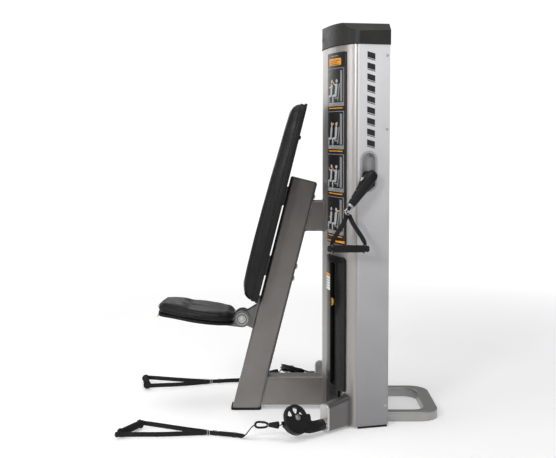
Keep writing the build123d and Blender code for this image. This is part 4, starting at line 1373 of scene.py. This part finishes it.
# seam running round the crown where the front panel of the cover meets its border
def on_surface(o, pts, direction, off):
    """Drops points onto the object's surface along -direction."""
    dg = bpy.context.evaluated_depsgraph_get()
    from mathutils.bvhtree import BVHTree
    bvh = BVHTree.FromObject(o, dg)
    out = []
    for p in pts:
        hit, nn, _, _ = bvh.ray_cast(p + direction * 0.25, -direction)
        if hit is not None:
            out.append(hit + nn * off)
    return out


seamp = on_surface(bp, ring3(ringb, to_back, 0.021, 0.15), bn, 0.0004)
if len(seamp) > 20:
    sweep("back_pad_seam", seamp, circle(0.0013, 6), "thread", "base", closed=True)
    stitch = []
    for off in (0.026,):
        sp2 = on_surface(bp, ring3(outline_ring(ring_pts, 640), to_back, off, 0.15), bn, 0.0003)
        for i in range(0, len(sp2) - 1, 2):
            a, b = sp2[i], sp2[i + 1]
            stitch.append(sweep("st", [a, (a + b) / 2 + bn * 0.0004, b], circle(0.00042, 5), "thread", None))
    join("back_pad_stitches", stitch, "base")
# screws that hold the pad mounts, seen from behind
sb = []
for x in (-0.028, 0.028):
    for t in (0.675, 0.735, 1.025, 1.085):
        sb.append(hexhead("bm", post(x, 0.0652, t), pdir(0, 1, 0), 0.0085, 0.0055, "zinc", "base", 0.0015))
join("back_mount_bolts", sb, "base")
lathe("back_board_bumper", [(0.0, 0.0), (0.011, 0.0), (0.010, 0.006), (0.006, 0.009), (0.0, 0.0095)], post(0, -0.0738, 1.345), pdir(0, 1, 0), "rubber", "base", 24)

# seat cushion
SO = [(0.0, -0.405), (0.058, -0.402), (0.096, -0.385), (0.121, -0.330), (0.150, -0.240), (0.158, -0.175), (0.149, -0.112), (0.121, -0.064),
      (0.088, -0.044), (0.062, -0.041)]
rs = SO + [(-x, y) for x, y in reversed(SO[1:])]
# keep the notch round the hinge clear
ringS = outline_ring(rs, 120)


def seat_h(x, y, f):
    # stepped nose at the front, shallow dish behind it
    nose = 1 / (1 + math.exp((y + 0.275) / 0.010))
    back_rise = max(0, (y + 0.10) / 0.06)
    base = 0.0330 + 0.0085 * nose + 0.003 * min(1, back_rise)
    edge = min(1.0, f / 0.45)
    crown = 1 - (1 - edge) ** 2.0
    dish = -0.004 * (1 - (x / 0.15) ** 2) * (1 - nose) * crown
    return base - 0.0035 * (1 - crown) + dish


lvS = [(0.012, -0.0096), (0.004, -0.0090), (0.001, -0.0060), (0.0, 0.002), (0.0, 0.010), (0.0, 0.018), (0.003, 0.0245), (0.008, 0.0285)]
spd = pad_mesh("seat_cushion", ringS, lvS, seat, 9, seat_h)
un = seat(0, 0, 1) - SP
puff(spd, 3.2, 0.005, 0.0048, 16, hold=lambda c: (c - SP).dot(un) < -0.006)
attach(spd, "seat")
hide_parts("seat_pad")
sweep("seat_piping", ring3(ringS, seat, -0.0030, 0.0135), circle(0.0019, 8), "thread", "seat", closed=True)
sm = on_surface(spd, ring3(ringS, seat, 0.020, 0.05), un, 0.0003)
if len(sm) > 20:
    sweep("seat_seam", sm, circle(0.0012, 6), "thread", "seat", closed=True)
# cross seam at the step behind the nose
cs = on_surface(spd, [seat(x / 1000, -0.268, 0.05) for x in range(-124, 125, 4)], un, 0.0003)
if len(cs) > 6:
    sweep("seat_nose_seam", cs, circle(0.0012, 6), "thread", "seat")

# ------------------------------------------------------------------ floor arms
cad("floor_arms", "arm", 0.0)
cad("arm_end_caps", "bright", 0.0)
DX, DY = 0.646, -0.7633
ARM_END = (0.388, -0.146)
LEAN = {"right": 30.0, "left": 62.0}
WS, WO = 0.152, 0.056


def arm_basis(s, lean):
    d = Vector((s * DX, DY, 0)).normalized()
    nn = Vector((s * -DY, DX, 0)).normalized()
    u = nn * -math.sin(math.radians(lean)) + Vector((0, 0, math.cos(math.radians(lean))))
    return Vector((s * ARM_END[0], ARM_END[1], 0.042)), d, u.cross(d).normalized(), u


for side, s in SIDES:
    o, d, w, u = arm_basis(s, 0)

    def A(x, y, z):
        return o + d * x + w * y + u * z

    # weld where the arm meets the tower skin
    hits = []
    prof = round_poly([(-0.0255, -0.0335), (0.0255, -0.0335), (0.0255, 0.1080), (-0.0255, 0.1080)], [0.017] * 4, 6)
    pts = []
    for i in range(len(prof)):
        a, b = prof[i], prof[(i + 1) % len(prof)]
        m = max(1, int(math.hypot(b[0] - a[0], b[1] - a[1]) / 0.0025))
        for k in range(m):
            uu, vv = a[0] + (b[0] - a[0]) * k / m, a[1] + (b[1] - a[1]) * k / m
            # march out along the arm until the point leaves the tower outline
            x = -0.19
            while x < 0:
                q = A(x, uu, vv)
                if abs(q.x) > 0.336 or q.y < bow_y(q.x):
                    break
                x += 0.001
            pts.append(A(x, uu, vv))
    weld("weld_arm_" + side, pts, "base", 0.004, "arm", closed=True, seed=5)
    lathe("arm_boss_ring_" + side, [(0.0212, 0.0095), (0.0225, 0.0100), (0.0225, 0.0150), (0.0212, 0.0158)], o, d, "zinc", "base", 36, closed=True)

# ------------------------------------------------------------------ floor swivel pulleys
for side, s in SIDES:
    o, d, w, u = arm_basis(s, LEAN[side])
    body = "floor_swivel_" + side

    def P(x, y, z):
        return o + d * x + w * y + u * z

    cx, cz = WS, WO
    parts = []
    # rotating collar with grip flutes
    prof = [(0.0095, 0.0165), (0.0235, 0.0165), (0.0250, 0.0180), (0.0250, 0.0215), (0.0238, 0.0228), (0.0238, 0.0260), (0.0250, 0.0272), (0.0250, 0.052),
            (0.0238, 0.0560), (0.0200, 0.0578), (0.0095, 0.0578)]
    parts.append(lathe("cl", prof, o, d, "black", None, 40, closed=True, angle=0.8))
    # two cheeks, each a bevelled tapered plate
    arc_ = lambda a, r=0.0716: (cx + r * math.cos(math.radians(a)), cz + r * math.sin(math.radians(a)))
    out = [(0.044, -0.0235), (0.070, -0.0228), (0.092, -0.0208), (0.118, -0.0132)] + [arc_(a) for a in range(250, 361, 5)]
    out += [(cx + 0.0700, cz + 0.0030), (cx + 0.026, cz + 0.0035), (cx + 0.0200, cz + 0.0090), (cx + 0.0120, cz + 0.0158), (cx + 0.0015, cz + 0.0185), (cx - 0.0100, cz + 0.0165),
            (cx - 0.0200, cz + 0.0095), (cx - 0.0290, cz + 0.0035), (cx - 0.0690, cz + 0.0030)] + [arc_(a) for a in range(182, 206, 4)] + [(0.0800, 0.0250), (0.066, 0.0238), (0.044, 0.0235)]
    for y0, y1 in ((0.0125, 0.0165), (-0.0165, -0.0125)):
        parts.append(prism("ck", out, lambda a, b, t: P(a, t, b), y0, y1, "black", None, 0.0010))
    # rib on the outside of each cheek
    for y0, y1 in ((0.0165, 0.0180), (-0.0180, -0.0165)):
        rib = capsule((0.058, -0.001), (cx - 0.018, cz - 0.006), 0.0055, 0.0035)
        parts.append(prism("rb", rib, lambda a, b, t: P(a, t, b), y0, y1, "black", None, 0.0006))
    # guard that curves round the lower side of the wheel
    a0, a1 = math.radians(202), math.radians(344)
    pth = []
    for k in range(41):
        a = a0 + (a1 - a0) * k / 40
        pth.append(P(cx + 0.0690 * math.cos(a), 0, cz + 0.0690 * math.sin(a)))
    sect = [(-0.0165, 0.0030), (-0.0150, 0.0040), (-0.0050, 0.0034), (0.0050, 0.0034), (0.0150, 0.0040), (0.0165, 0.0030), (0.0165, -0.0025), (0.0150, -0.0034), (-0.0150, -0.0034), (-0.0165, -0.0025)]
    parts.append(sweep("gd", pth, sect, "black", None, lat=w))
    # end lip and cable guide at the front of the guard
    q = pth[-1]
    parts.append(sweep("lp", [q + w * 0.0165, q + w * 0.008, q - w * 0.008, q - w * 0.0165], circle(0.0055, 12), "black", None))
    sw = join("floor_swivel_housing_" + side, parts, body)
    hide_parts("floor_swivel_" + side)
    # axle bolt
    ab = [lathe("ax", [(0.0, -0.0166), (0.0059, -0.0166), (0.0059, 0.0166), (0.0, 0.0166)], P(cx, 0, cz), w, "zinc", None, 20)]
    ab.append(hexhead("ax1", P(cx, 0.0166, cz), w, 0.0098, 0.0048, "zinc", body, 0.0012))
    ab.append(hexhead("ax2", P(cx, -0.0166, cz), -w, 0.0098, 0.0048, "zinc", body, 0.0012))
    ab = join("floor_axle_bolt_" + side, ab, body)
    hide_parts("floor_axle_" + side)

    # wheel: grooved rim, hub and six spokes
    R = 0.060
    wb = "floor_wheel_" + side
    wp = []
    rim = [(0.0470, -0.0085), (0.0560, -0.0100), (0.0592, -0.0100), (0.0600, -0.0088), (0.0590, -0.0060), (0.0560, -0.0038), (0.0548, 0.0), (0.0560, 0.0038), (0.0590, 0.0060),
           (0.0600, 0.0088), (0.0592, 0.0100), (0.0560, 0.0100), (0.0470, 0.0085)]
    wp.append(lathe("rm", rim, P(cx, 0, cz), w, "nylon", None, 64, closed=True, angle=0.9))
    hub = [(0.0061, -0.0118), (0.0150, -0.0118), (0.0165, -0.0105), (0.0165, 0.0105), (0.0150, 0.0118), (0.0061, 0.0118)]
    wp.append(lathe("hb", hub, P(cx, 0, cz), w, "nylon", None, 40, closed=True, angle=0.8))
    # spokes
    for k in range(6):
        a = math.pi * 2 * k / 6 + 0.26
        c_, s_ = math.cos(a), math.sin(a)
        sp_poly = []
        for rr, hw in ((0.0150, 0.0085), (0.0200, 0.0062), (0.0300, 0.0048), (0.0400, 0.0062), (0.0480, 0.0110)):
            sp_poly.append((rr, hw))
        poly = sp_poly + [(a_, -b_) for a_, b_ in reversed(sp_poly)]
        poly = [(cx + x * c_ - y * s_, cz + x * s_ + y * c_) for x, y in poly]
        wp.append(prism("sk", poly, lambda a_, b_, t: P(a_, t, b_), -0.0060, 0.0060, "nylon", None, 0.0012))
    wh = join("floor_wheel_spoked_" + side, wp, wb)
    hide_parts("floor_pulley_" + side)

# ------------------------------------------------------------------ floor handles
HOOK = {"right": (0.482, -0.352, 0.066), "left": (-0.474, -0.364, 0.048)}
CLIP = {"right": (0.478, -0.444, 0.066), "left": (-0.462, -0.456, 0.046)}
LAND = {"right": (0.468, -0.513, 0.0135), "left": (-0.440, -0.520, 0.0135)}
SPLIT = {"right": (0.420, -0.690, 0.0135), "left": (-0.404, -0.746, 0.0135)}
GA = {"right": (0.455, -1.054, 0.022), "left": (-0.306, -1.050, 0.022)}
GB = {"right": (0.328, -0.985, 0.022), "left": (-0.443, -1.079, 0.022)}


def grip(name, a, b, body, node):
    """Foam-covered hand grip with moulded flanges at both ends, hollow for the webbing."""
    a, b = Vector(a), Vector(b)
    d = (b - a).normalized()
    L = (b - a).length
    out = [(0.0062, 0.0), (0.0170, 0.0), (0.0192, 0.0008), (0.0200, 0.0024), (0.0200, 0.0046), (0.0190, 0.0062), (0.0168, 0.0072)]
    prof = list(out)
    n = 26
    for k in range(n + 1):
        t = k / n
        h = 0.0078 + (L - 0.0156) * t
        r = 0.0158 + 0.0007 * math.sin(math.pi * t)
        if 0 < k < n:
            prof.append((r - 0.0007, h - 0.0008))
            prof.append((r, h - 0.0002))
            prof.append((r, h + (L - 0.0156) / n - 0.0016))
        else:
            prof.append((r - 0.0006, h))
    prof += [(r, L - h) for r, h in reversed(out)]
    o = lathe(name, prof, a, d, "foam", body, 36, closed=True, angle=0.9)
    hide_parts(node)
    return o


def clip_ring(p, d, lat, L, w, r):
    """Closed snap-hook loop: a long rounded ring from p along d."""
    pts = []
    d, lat = Vector(d).normalized(), Vector(lat).normalized()
    for k in range(48):
        a = 2 * math.pi * k / 48
        ca, sa = math.cos(a), math.sin(a)
        x = L / 2 + (L / 2) * math.copysign(abs(ca) ** 0.75, ca)
        y = (w / 2) * math.copysign(abs(sa) ** 0.8, sa) * (1.0 + 0.18 * ca)
        pts.append(Vector(p) + d * x + lat * y)
    return sweep("cr", pts, circle(r, 10), "black", None, closed=True)


def triglide(p, d, lat, w, L, body=None):
    """Flat strap adjuster: rounded rectangular ring with a middle bar."""
    p, d, lat = Vector(p), Vector(d).normalized(), Vector(lat).normalized()
    n = d.cross(lat).normalized()
    poly = round_poly([(-L / 2, -w / 2), (L / 2, -w / 2), (L / 2, w / 2), (-L / 2, w / 2)], 0.004, 5)
    pts = [p + d * a + lat * b for a, b in poly]
    parts = [sweep("tg", pts, circle(0.0021, 8), "zinc", None, closed=True)]
    parts.append(sweep("tb", [p + lat * (w / 2), p, p - lat * (w / 2)], circle(0.0019, 8), "zinc", None))
    return parts


for side, s in SIDES:
    o, d, w, u = arm_basis(s, LEAN[side])
    sb_ = "floor_swivel_" + side
    hb_ = "floor_handle_" + side
    h, c, l, sp_ = Vector(HOOK[side]), Vector(CLIP[side]), Vector(LAND[side]), Vector(SPLIT[side])
    ga, gb = Vector(GA[side]), Vector(GB[side])
    # coated cable: out of the collar, under the wheel and on to the stop
    q = lambda x, y, z: o + d * x + w * y + u * z
    rim_ = lambda a: q(WS + 0.0575 * math.cos(math.radians(a)), 0, WO + 0.0575 * math.sin(math.radians(a)))
    path = smooth_path([q(0.02, 0, 0), q(0.08, 0, -0.0006)] + [rim_(a) for a in (262, 285, 308, 330, 344)] + [rim_(350).lerp(h, 0.45) + u * 0.004, h + (h - c).normalized() * 0.008, h], 0.005)
    sweep("floor_cable_" + side, path, circle(0.0026, 10), "black", sb_)
    hd = (c - h).normalized()
    lat = Vector((0, 0, 1))
    lat = (lat - hd * lat.dot(hd)).normalized()
    parts = []
    # ribbed rubber stop and crimped ferrule
    prof = [(0.0, -0.001), (0.0100, 0.0), (0.0146, 0.002), (0.0159, 0.006), (0.0158, 0.010), (0.0145, 0.0115), (0.0150, 0.0135), (0.0140, 0.0200), (0.0126, 0.0215), (0.0131, 0.0235),
            (0.0120, 0.0310), (0.0106, 0.0325), (0.0110, 0.0345), (0.0096, 0.0430), (0.0078, 0.0472), (0.0, 0.0480)]
    parts.append(lathe("st", prof, h, hd, "rubber", None, 28, angle=0.9))
    parts.append(lathe("fr", [(0.0, 0.045), (0.0044, 0.045), (0.0052, 0.047), (0.0046, 0.0500), (0.0052, 0.0530), (0.0040, 0.0550), (0.0, 0.0550)], h, hd, "zinc", None, 20, angle=0.9))
    e0 = h + hd * 0.0510
    parts.append(clip_ring(e0, hd, lat, (c - h).length + 0.0135 - 0.0510, 0.0250, 0.0050))
    # gate barrel of the snap hook
    g0 = e0 + hd * 0.012 + lat * 0.0092
    parts.append(lathe("gt", [(0.0, 0.0), (0.0040, 0.0), (0.0045, 0.0012), (0.0045, 0.0120), (0.0040, 0.0132), (0.0, 0.0132)], g0, hd, "zinc", None, 18, angle=0.9))
    hk = join("floor_snap_hook_" + side, parts, hb_)
    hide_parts("floor_hook_" + side)

    # webbing from the hook down to the floor and along it
    run = (sp_ - l).normalized()
    slat = run.cross(Vector((0, 0, 1))).normalized()
    e1 = c + hd * 0.010
    UP = Vector((0, 0, 1))
    top = [e1, e1 + (l - e1) * 0.28 + Vector((0, 0, 0.006)), e1 + (l - e1) * 0.68 + Vector((0, 0, -0.004)), l - run * 0.006, l + run * 0.022]
    pth = smooth_path(top, 0.005)
    L_ = len(pth)
    # the strap turns on edge as it reaches the floor
    lats = []
    for i in range(L_):
        t = max(0.0, min(1.0, (i / (L_ - 1) - 0.62) / 0.38))
        t = t * t * (3 - 2 * t)
        lats.append(slat * math.cos(t * math.pi / 2) + UP * math.sin(t * math.pi / 2))
    st = []
    st.append(sweep("w1", pth, band(0.0205, 0.0046), "web", None, lat=lats))
    st.append(sweep("w1", smooth_path([l + run * 0.012, l.lerp(sp_, 0.5) + slat * 0.0012, sp_], 0.008), band(0.0205, 0.0030), "web", None, lat=UP))
    # doubled, sewn length with two adjusters on it
    k0, k1 = l + run * 0.016, l + run * (0.62 * (sp_ - l).length)
    dbl = smooth_path([k0 + slat * 0.0006, k0.lerp(k1, 0.15) + slat * 0.0034, k0.lerp(k1, 0.5) + slat * 0.0044, k0.lerp(k1, 0.9) + slat * 0.0036, k1 + slat * 0.0016], 0.006)
    st.append(sweep("w2", dbl, band(0.0205, 0.0026), "web", None, lat=UP))
    for f in (0.22, 0.70):
        pp = l.lerp(sp_, f) + slat * 0.0020
        st += triglide(pp, run, UP, 0.0226, 0.0220)
    # bar tacks
    for f in (0.10, 0.36, 0.55):
        for sg in (1, -1):
            pp = l.lerp(sp_, f) + slat * (sg * 0.0052 if sg > 0 else -0.0018)
            for kx in (-1, 1):
                a_, b_ = pp + run * 0.007 * kx - UP * 0.007, pp + run * 0.007 * kx + UP * 0.007
                st.append(sweep("bt", [a_, (a_ + b_) / 2, b_], circle(0.0009, 6), "thread", None))
    # sewn junction where the loop splits
    jn = round_poly([(-0.013, -0.0108), (0.013, -0.0108), (0.013, 0.0108), (-0.013, 0.0108)], 0.004, 4)
    st.append(prism("jn", jn, lambda a_, b_, t: sp_ + run * -a_ + UP * b_ + slat * t, -0.0078, 0.0078, "web", None, 0.0016))
    st += triglide(sp_ - run * 0.020, run, UP, 0.0226, 0.0160)
    # two legs to the ends of the grip
    m = (gb - ga).normalized()
    sd_ = slat if slat.dot(m) > 0 else -slat
    for e, inw, off in ((ga, m, -0.008), (gb, -m, 0.008)):
        stt = sp_ + sd_ * off
        leg = (stt - e).normalized()
        along, across = leg.dot(inw), (leg - inw * leg.dot(inw)).length
        end = e - inw * max(0.014, along / across * 0.028 + 0.008)
        mid = stt.lerp(end, 0.5)
        sag = Vector((0, 0, -0.0016))
        arc = smooth_path([stt, stt.lerp(end, 0.25) + sag + sd_ * off * 0.25, mid + sag * 1.2 + sd_ * off * 0.5, stt.lerp(end, 0.8) + sag * 0.2 + sd_ * off * 0.2, end], 0.008)
        st.append(sweep("lg", arc, band(0.0215, 0.0034), "web", None, lat=UP))
        # fold of the webbing round the bar
        st.append(lathe("ef", [(0.0, -0.0112), (0.0060, -0.0108), (0.0068, -0.0090), (0.0068, 0.0090), (0.0060, 0.0108), (0.0, 0.0112)], end, UP, "web", None, 20, angle=0.9))
        # folded end where the webbing turns into the grip
        st.append(lathe("en", [(0.0, -0.0075), (0.0050, -0.0072), (0.0078, -0.0050), (0.0086, 0.0), (0.0080, 0.0050), (0.0058, 0.0075), (0.0052, 0.0300), (0.0, 0.0300)], end, inw, "web", None, 20, angle=0.9))
    sto = join("floor_strap_webbing_" + side, st, hb_)
    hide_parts("floor_strap_" + side)
    grip("floor_hand_grip_" + side, ga, gb, "floor_grip_" + side, "floor_grip_" + side)

# ------------------------------------------------------------------ side swivels and their handles
HUB0 = Vector((PX, PY, 1.150))
HUBC = HUB0 + PNV * 0.030
NOSE = Vector((0.420, -0.044, 1.017))
MD = (NOSE - HUBC).normalized()
MW = PNV.cross(MD).normalized()
MV = MW.cross(MD).normalized()
MLEN = (NOSE - HUBC).length


def mx(v, s):
    return Vector((s * v.x, v.y, v.z))


WID = [(-0.0290, 0.0060), (-0.026, 0.0140), (-0.018, 0.0240), (-0.008, 0.0290), (0.004, 0.0310), (0.024, 0.0310), (0.045, 0.0290), (0.070, 0.0260), (0.110, 0.0212), (MLEN - 0.030, 0.0170), (MLEN - 0.010, 0.0140)]
THK = [(-0.0290, 0.0080), (-0.026, 0.0150), (-0.018, 0.0215), (-0.008, 0.0248), (0.004, 0.0260), (0.030, 0.0262), (0.070, 0.0240), (0.110, 0.0208), (MLEN - 0.030, 0.0182), (MLEN - 0.010, 0.0152)]


def lin(table, v):
    for (a, fa), (b, fb) in zip(table[:-1], table[1:]):
        if v <= b:
            return fa + (fb - fa) * max(0, (v - a) / (b - a))
    return table[-1][1]


for side, s in SIDES:
    body = "side_swivel_" + side
    parts = []
    xs = [-0.0290, -0.0275, -0.026, -0.022, -0.018, -0.013, -0.008, -0.002, 0.004, 0.014, 0.024, 0.036, 0.048, 0.060, 0.074, 0.09, 0.11, 0.13, MLEN - 0.030, MLEN - 0.016, MLEN - 0.0115, MLEN - 0.0100]
    m = 36
    verts, faces = [], []
    for i, x in enumerate(xs):
        a, b = lin(WID, x), lin(THK, x)
        if i >= len(xs) - 1:
            a, b = a - 0.0016, b - 0.0016
        for k in range(m):
            t = 2 * math.pi * k / m
            ca, sa = math.cos(t), math.sin(t)
            uu = a * math.copysign(abs(ca) ** 0.72, ca)
            vv = b * math.copysign(abs(sa) ** 0.72, sa)
            verts.append(mx(HUBC + MD * x + MV * uu + MW * vv, s))
    for i in range(len(xs) - 1):
        for k in range(m):
            k2 = (k + 1) % m
            faces.append((i * m + k, i * m + k2, (i + 1) * m + k2, (i + 1) * m + k))
    faces.append(tuple(range(m)))
    faces.append(tuple((len(xs) - 1) * m + k for k in reversed(range(m))))
    parts.append(add("tb", verts, faces, "black", None, angle=0.8))
    # parting line round the housing
    line = []
    for sgn in (1, -1):
        seq = xs[2:-1] if sgn > 0 else list(reversed(xs[2:-1]))
        for x in seq:
            line.append(mx(HUBC + MD * x + MV * (sgn * (lin(WID, x) + 0.0001)), s))
    parts.append(sweep("pl", line, circle(0.0008, 6), "gloss", None, closed=True))
    # raised oval boss with the axle bolt, both faces
    for sgn in (1, -1):
        c0 = HUBC + MD * 0.038 + MW * (sgn * 0.0252)
        ov = [(0.030 * math.cos(2 * math.pi * k / 30), 0.0185 * math.sin(2 * math.pi * k / 30)) for k in range(30)]
        parts.append(prism("ov", ov, lambda a, b, t: mx(c0 + MD * a + MV * b + MW * (sgn * t), s), 0.0, 0.0018, "black", None, 0.0008))
        parts.append(hexhead("sx" + str(sgn), mx(c0 + MW * (sgn * 0.0018), s), mx(MW * sgn, s), 0.0080, 0.0045, "zinc", body, 0.0010))
        for xx in (0.098, 0.140):
            parts.append(lathe("sr", [(0.0, 0.0), (0.0038, 0.0), (0.0036, 0.0010), (0.0016, 0.0014), (0.0, 0.0006)], mx(HUBC + MD * xx + MW * (sgn * (lin(THK, xx) - 0.0003)), s), mx(MW * sgn, s), "zinc", None, 16))
    # hub collar out of the recess
    parts.append(lathe("hc", [(0.0, -0.024), (0.0140, -0.024), (0.0143, -0.0195), (0.0235, -0.0190), (0.0240, -0.0170), (0.0240, 0.0060), (0.0228, 0.0080), (0.0185, 0.0088), (0.0170, 0.0130), (0.0170, 0.0240), (0.0, 0.0240)],
                       mx(HUB0, s), mx(PNV, s), "black", None, 40, angle=0.8))
    # nose ferrule (the cable stop ball is built with the handle below)
    parts.append(lathe("nf", [(0.0, -0.0125), (0.0150, -0.0120), (0.0158, -0.0105), (0.0152, -0.0060), (0.0110, -0.0030), (0.0075, -0.0020), (0.0, -0.0018)], mx(NOSE, s), mx(MD, s), "zinc", None, 36, angle=0.8))
    sw = join("side_swivel_housing_" + side, parts, body)
    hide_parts("side_swivel_" + side)
    cad("side_pulley_" + side, "nylon", 0.0008)

    hb_ = "side_handle_" + side
    RC = Vector((0.424, -0.050, 1.000))
    parts = []
    # rubber stop ball, swivel eye and ring
    parts.append(lathe("sb", [(0.0, -0.0090), (0.0045, -0.0080), (0.0078, -0.0045), (0.0088, 0.0), (0.0078, 0.0045), (0.0045, 0.0080), (0.0, 0.0090)], mx(Vector((0.4215, -0.0465, 1.0125)), s), mx((RC - NOSE).normalized(), s), "rubber", None, 24))
    pts = [mx(RC + Vector((0, 0.0130 * math.cos(2 * math.pi * k / 32), 0.0130 * math.sin(2 * math.pi * k / 32) - 0.0005)), s) for k in range(32)]
    parts.append(sweep("rg", pts, circle(0.0028, 10), "zinc", None, closed=True))
    low = RC + Vector((0.001, 0, -0.012))
    # webbing loop folded over the ring, sewn below it
    fold = []
    for k in range(9):
        a = math.pi * k / 8
        fold.append(mx(RC + Vector((0, 0.0052 * math.cos(a), -0.0130 + 0.0052 * math.sin(a))), s))
    fold = [mx(RC + Vector((0.001, 0.0030, -0.030)), s)] + fold + [mx(RC + Vector((0.001, -0.0030, -0.030)), s)]
    parts.append(sweep("fd", fold, band(0.0230, 0.0024), "web", None, lat=Vector((1, 0, 0))))
    for oy, e, bow in ((-0.0035, Vector((0.430, -0.134, 0.836)), -1), (0.0035, Vector((0.430, 0.037, 0.836)), 1)):
        a0 = RC + Vector((0.001, oy * 1.2, -0.016))
        arc = smooth_path([mx(v, s) for v in (a0, a0.lerp(e, 0.28) + Vector((0, -bow * 0.003, 0)), a0.lerp(e, 0.65) + Vector((0, bow * 0.002, 0)), a0.lerp(e, 0.93), e)], 0.007)
        dirn = (mx(e, s) - mx(a0, s)).normalized()
        flat = dirn.cross(Vector((1, 0, 0))).normalized()
        if flat.z < 0:
            flat = -flat
        lats = []
        for i in range(len(arc)):
            t = i / (len(arc) - 1)
            t = max(0.0, min(1.0, (t - 0.70) / 0.22))
            t = t * t * (3 - 2 * t)
            lats.append(flat * math.cos(t * math.pi / 2) + Vector((1, 0, 0)) * math.sin(t * math.pi / 2))
        parts.append(sweep("lg", arc, band(0.0195, 0.0028), "web", None, lat=lats))
        inw = Vector((0, -bow, 0))
        parts.append(lathe("en", [(0.0, -0.0070), (0.0085, -0.0067), (0.0128, -0.0042), (0.0146, 0.0010), (0.0142, 0.0080), (0.0128, 0.0120), (0.0052, 0.0145), (0.0052, 0.0300), (0.0, 0.0300)], mx(e, s), inw, "web", None, 20, angle=0.9))
        for f in (0.10, 0.90):
            pp = a0.lerp(e, f)
            parts.append(sweep("bt", [mx(pp + Vector((x, -bow * 0.0017, 0)), s) for x in (-0.006, 0, 0.006)], circle(0.0009, 6), "thread", None))
    st_ = join("side_strap_webbing_" + side, parts, hb_)
    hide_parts("side_strap_" + side)
    grip("side_hand_grip_" + side, mx(Vector((0.430, -0.118, 0.836)), s), mx(Vector((0.430, 0.023, 0.836)), s), "side_grip_" + side, "side_grip_" + side)

# ------------------------------------------------------------------ floor, light and camera
def stage_plane(name, verts, mat):
    me = bpy.data.meshes.new(name)
    me.from_pydata(verts, [], [(0, 1, 2, 3)])
    o = bpy.data.objects.new(name, me)
    scene.collection.objects.link(o)
    me.materials.append(mat)
    return o


fn = Net("studio_floor")
fn.color(fn.mix(fn.range(fn.noise(2.0, 3), 0.0, 1.0, 0.3, 0.7), (0.86, 0.86, 0.86), (0.88, 0.88, 0.88)))
fn.rough(0.6)
fn.b.inputs["Specular IOR Level"].default_value = 0.25
fn.b.inputs["Emission Color"].default_value = (1, 1, 1, 1)
fn.b.inputs["Emission Strength"].default_value = 0.27
# the floor fades into the white backdrop away from the machine
fd = fn.node("ShaderNodeVectorMath", operation="LENGTH")
fn.link(fn.tc.outputs["Object"], fd.inputs[0])
ff = fn.range(fd.outputs["Value"], 0.0, 1.0, 1.5, 4.2)
fe = fn.node("ShaderNodeEmission")
fe.inputs[0].default_value = (1, 1, 1, 1)
fe.inputs[1].default_value = 1.06
fx = fn.node("ShaderNodeMixShader")
fo = [q for q in fn.mat.node_tree.nodes if q.type == "OUTPUT_MATERIAL"][0]
flp = fn.node("ShaderNodeLightPath")
fn.link(fn.math("MULTIPLY", ff, flp.outputs["Is Camera Ray"]), fx.inputs[0])
fn.link(fn.b.outputs[0], fx.inputs[1])
fn.link(fe.outputs[0], fx.inputs[2])
fn.link(fx.outputs[0], fo.inputs[0])
stage_plane("studio_floor", [(-14, -14, -0.0005), (14, -14, -0.0005), (14, 14, -0.0005), (-14, 14, -0.0005)], fn.mat)

wd = bpy.data.worlds.new("studio") if scene.world is None else scene.world
scene.world = wd
wd.use_nodes = True
wt = wd.node_tree
wt.nodes.clear()
wo = wt.nodes.new("ShaderNodeOutputWorld")
wb = wt.nodes.new("ShaderNodeBackground")
wc = wt.nodes.new("ShaderNodeTexCoord")
wsep = wt.nodes.new("ShaderNodeSeparateXYZ")
wr = wt.nodes.new("ShaderNodeValToRGB")
wt.links.new(wc.outputs["Generated"], wsep.inputs[0])
wt.links.new(wsep.outputs[2], wr.inputs[0])
wr.color_ramp.elements[0].position = 0.0
wr.color_ramp.elements[0].color = (0.55, 0.55, 0.55, 1)
wr.color_ramp.elements[1].position = 0.7
wr.color_ramp.elements[1].color = (1, 1, 1, 1)
wb2 = wt.nodes.new("ShaderNodeBackground")
wb2.inputs[0].default_value = (1, 1, 1, 1)
wb2.inputs[1].default_value = 1.05
wm = wt.nodes.new("ShaderNodeMixShader")
wlp = wt.nodes.new("ShaderNodeLightPath")
wt.links.new(wr.outputs[0], wb.inputs[0])
wb.inputs[1].default_value = 0.32
wt.links.new(wlp.outputs["Is Camera Ray"], wm.inputs[0])
wt.links.new(wb.outputs[0], wm.inputs[1])
wt.links.new(wb2.outputs[0], wm.inputs[2])
wt.links.new(wm.outputs[0], wo.inputs[0])


def area(name, loc, target, size, power, size_y=None):
    ld = bpy.data.lights.new(name, "AREA")
    ld.energy = power
    ld.size = size
    if size_y:
        ld.shape = "RECTANGLE"
        ld.size_y = size_y
    o = bpy.data.objects.new(name, ld)
    scene.collection.objects.link(o)
    o.location = loc
    o.rotation_euler = (Vector(target) - Vector(loc)).to_track_quat("-Z", "Y").to_euler()
    return o


area("top_softbox", (0.6, -0.4, 4.2), (0, -0.4, 0), 3.0, 66)
area("key_softbox", (4.0, -2.3, 2.7), (0, -0.35, 0.9), 0.8, 78)
area("side_softbox", (4.2, 2.6, 2.2), (0, 0, 1.0), 2.0, 18)
area("front_softbox", (0.9, -4.2, 2.0), (0, 0, 0.9), 1.8, 28)
area("rear_softbox", (-2.8, -1.6, 2.6), (0, -0.3, 0.9), 2.4, 26)

cam_d = bpy.data.cameras.new("camera")
cam = bpy.data.objects.new("camera", cam_d)
scene.collection.objects.link(cam)
cam_d.sensor_width = 36.0
cam.location = (4.395, -0.327, 1.344)
PITCH = 3.3
FOCAL = 908.0
cam_d.lens = FOCAL / 556.0 * 36.0
cam.rotation_euler = (math.radians(90 - PITCH), 0, math.radians(90))
cam_d.shift_x = -7.0 / 556.0
cam_d.shift_y = -(96.0 - FOCAL * math.tan(math.radians(PITCH))) / 556.0
cam_d.clip_end = 60
scene.camera = cam
scene.view_settings.view_transform = "Standard"
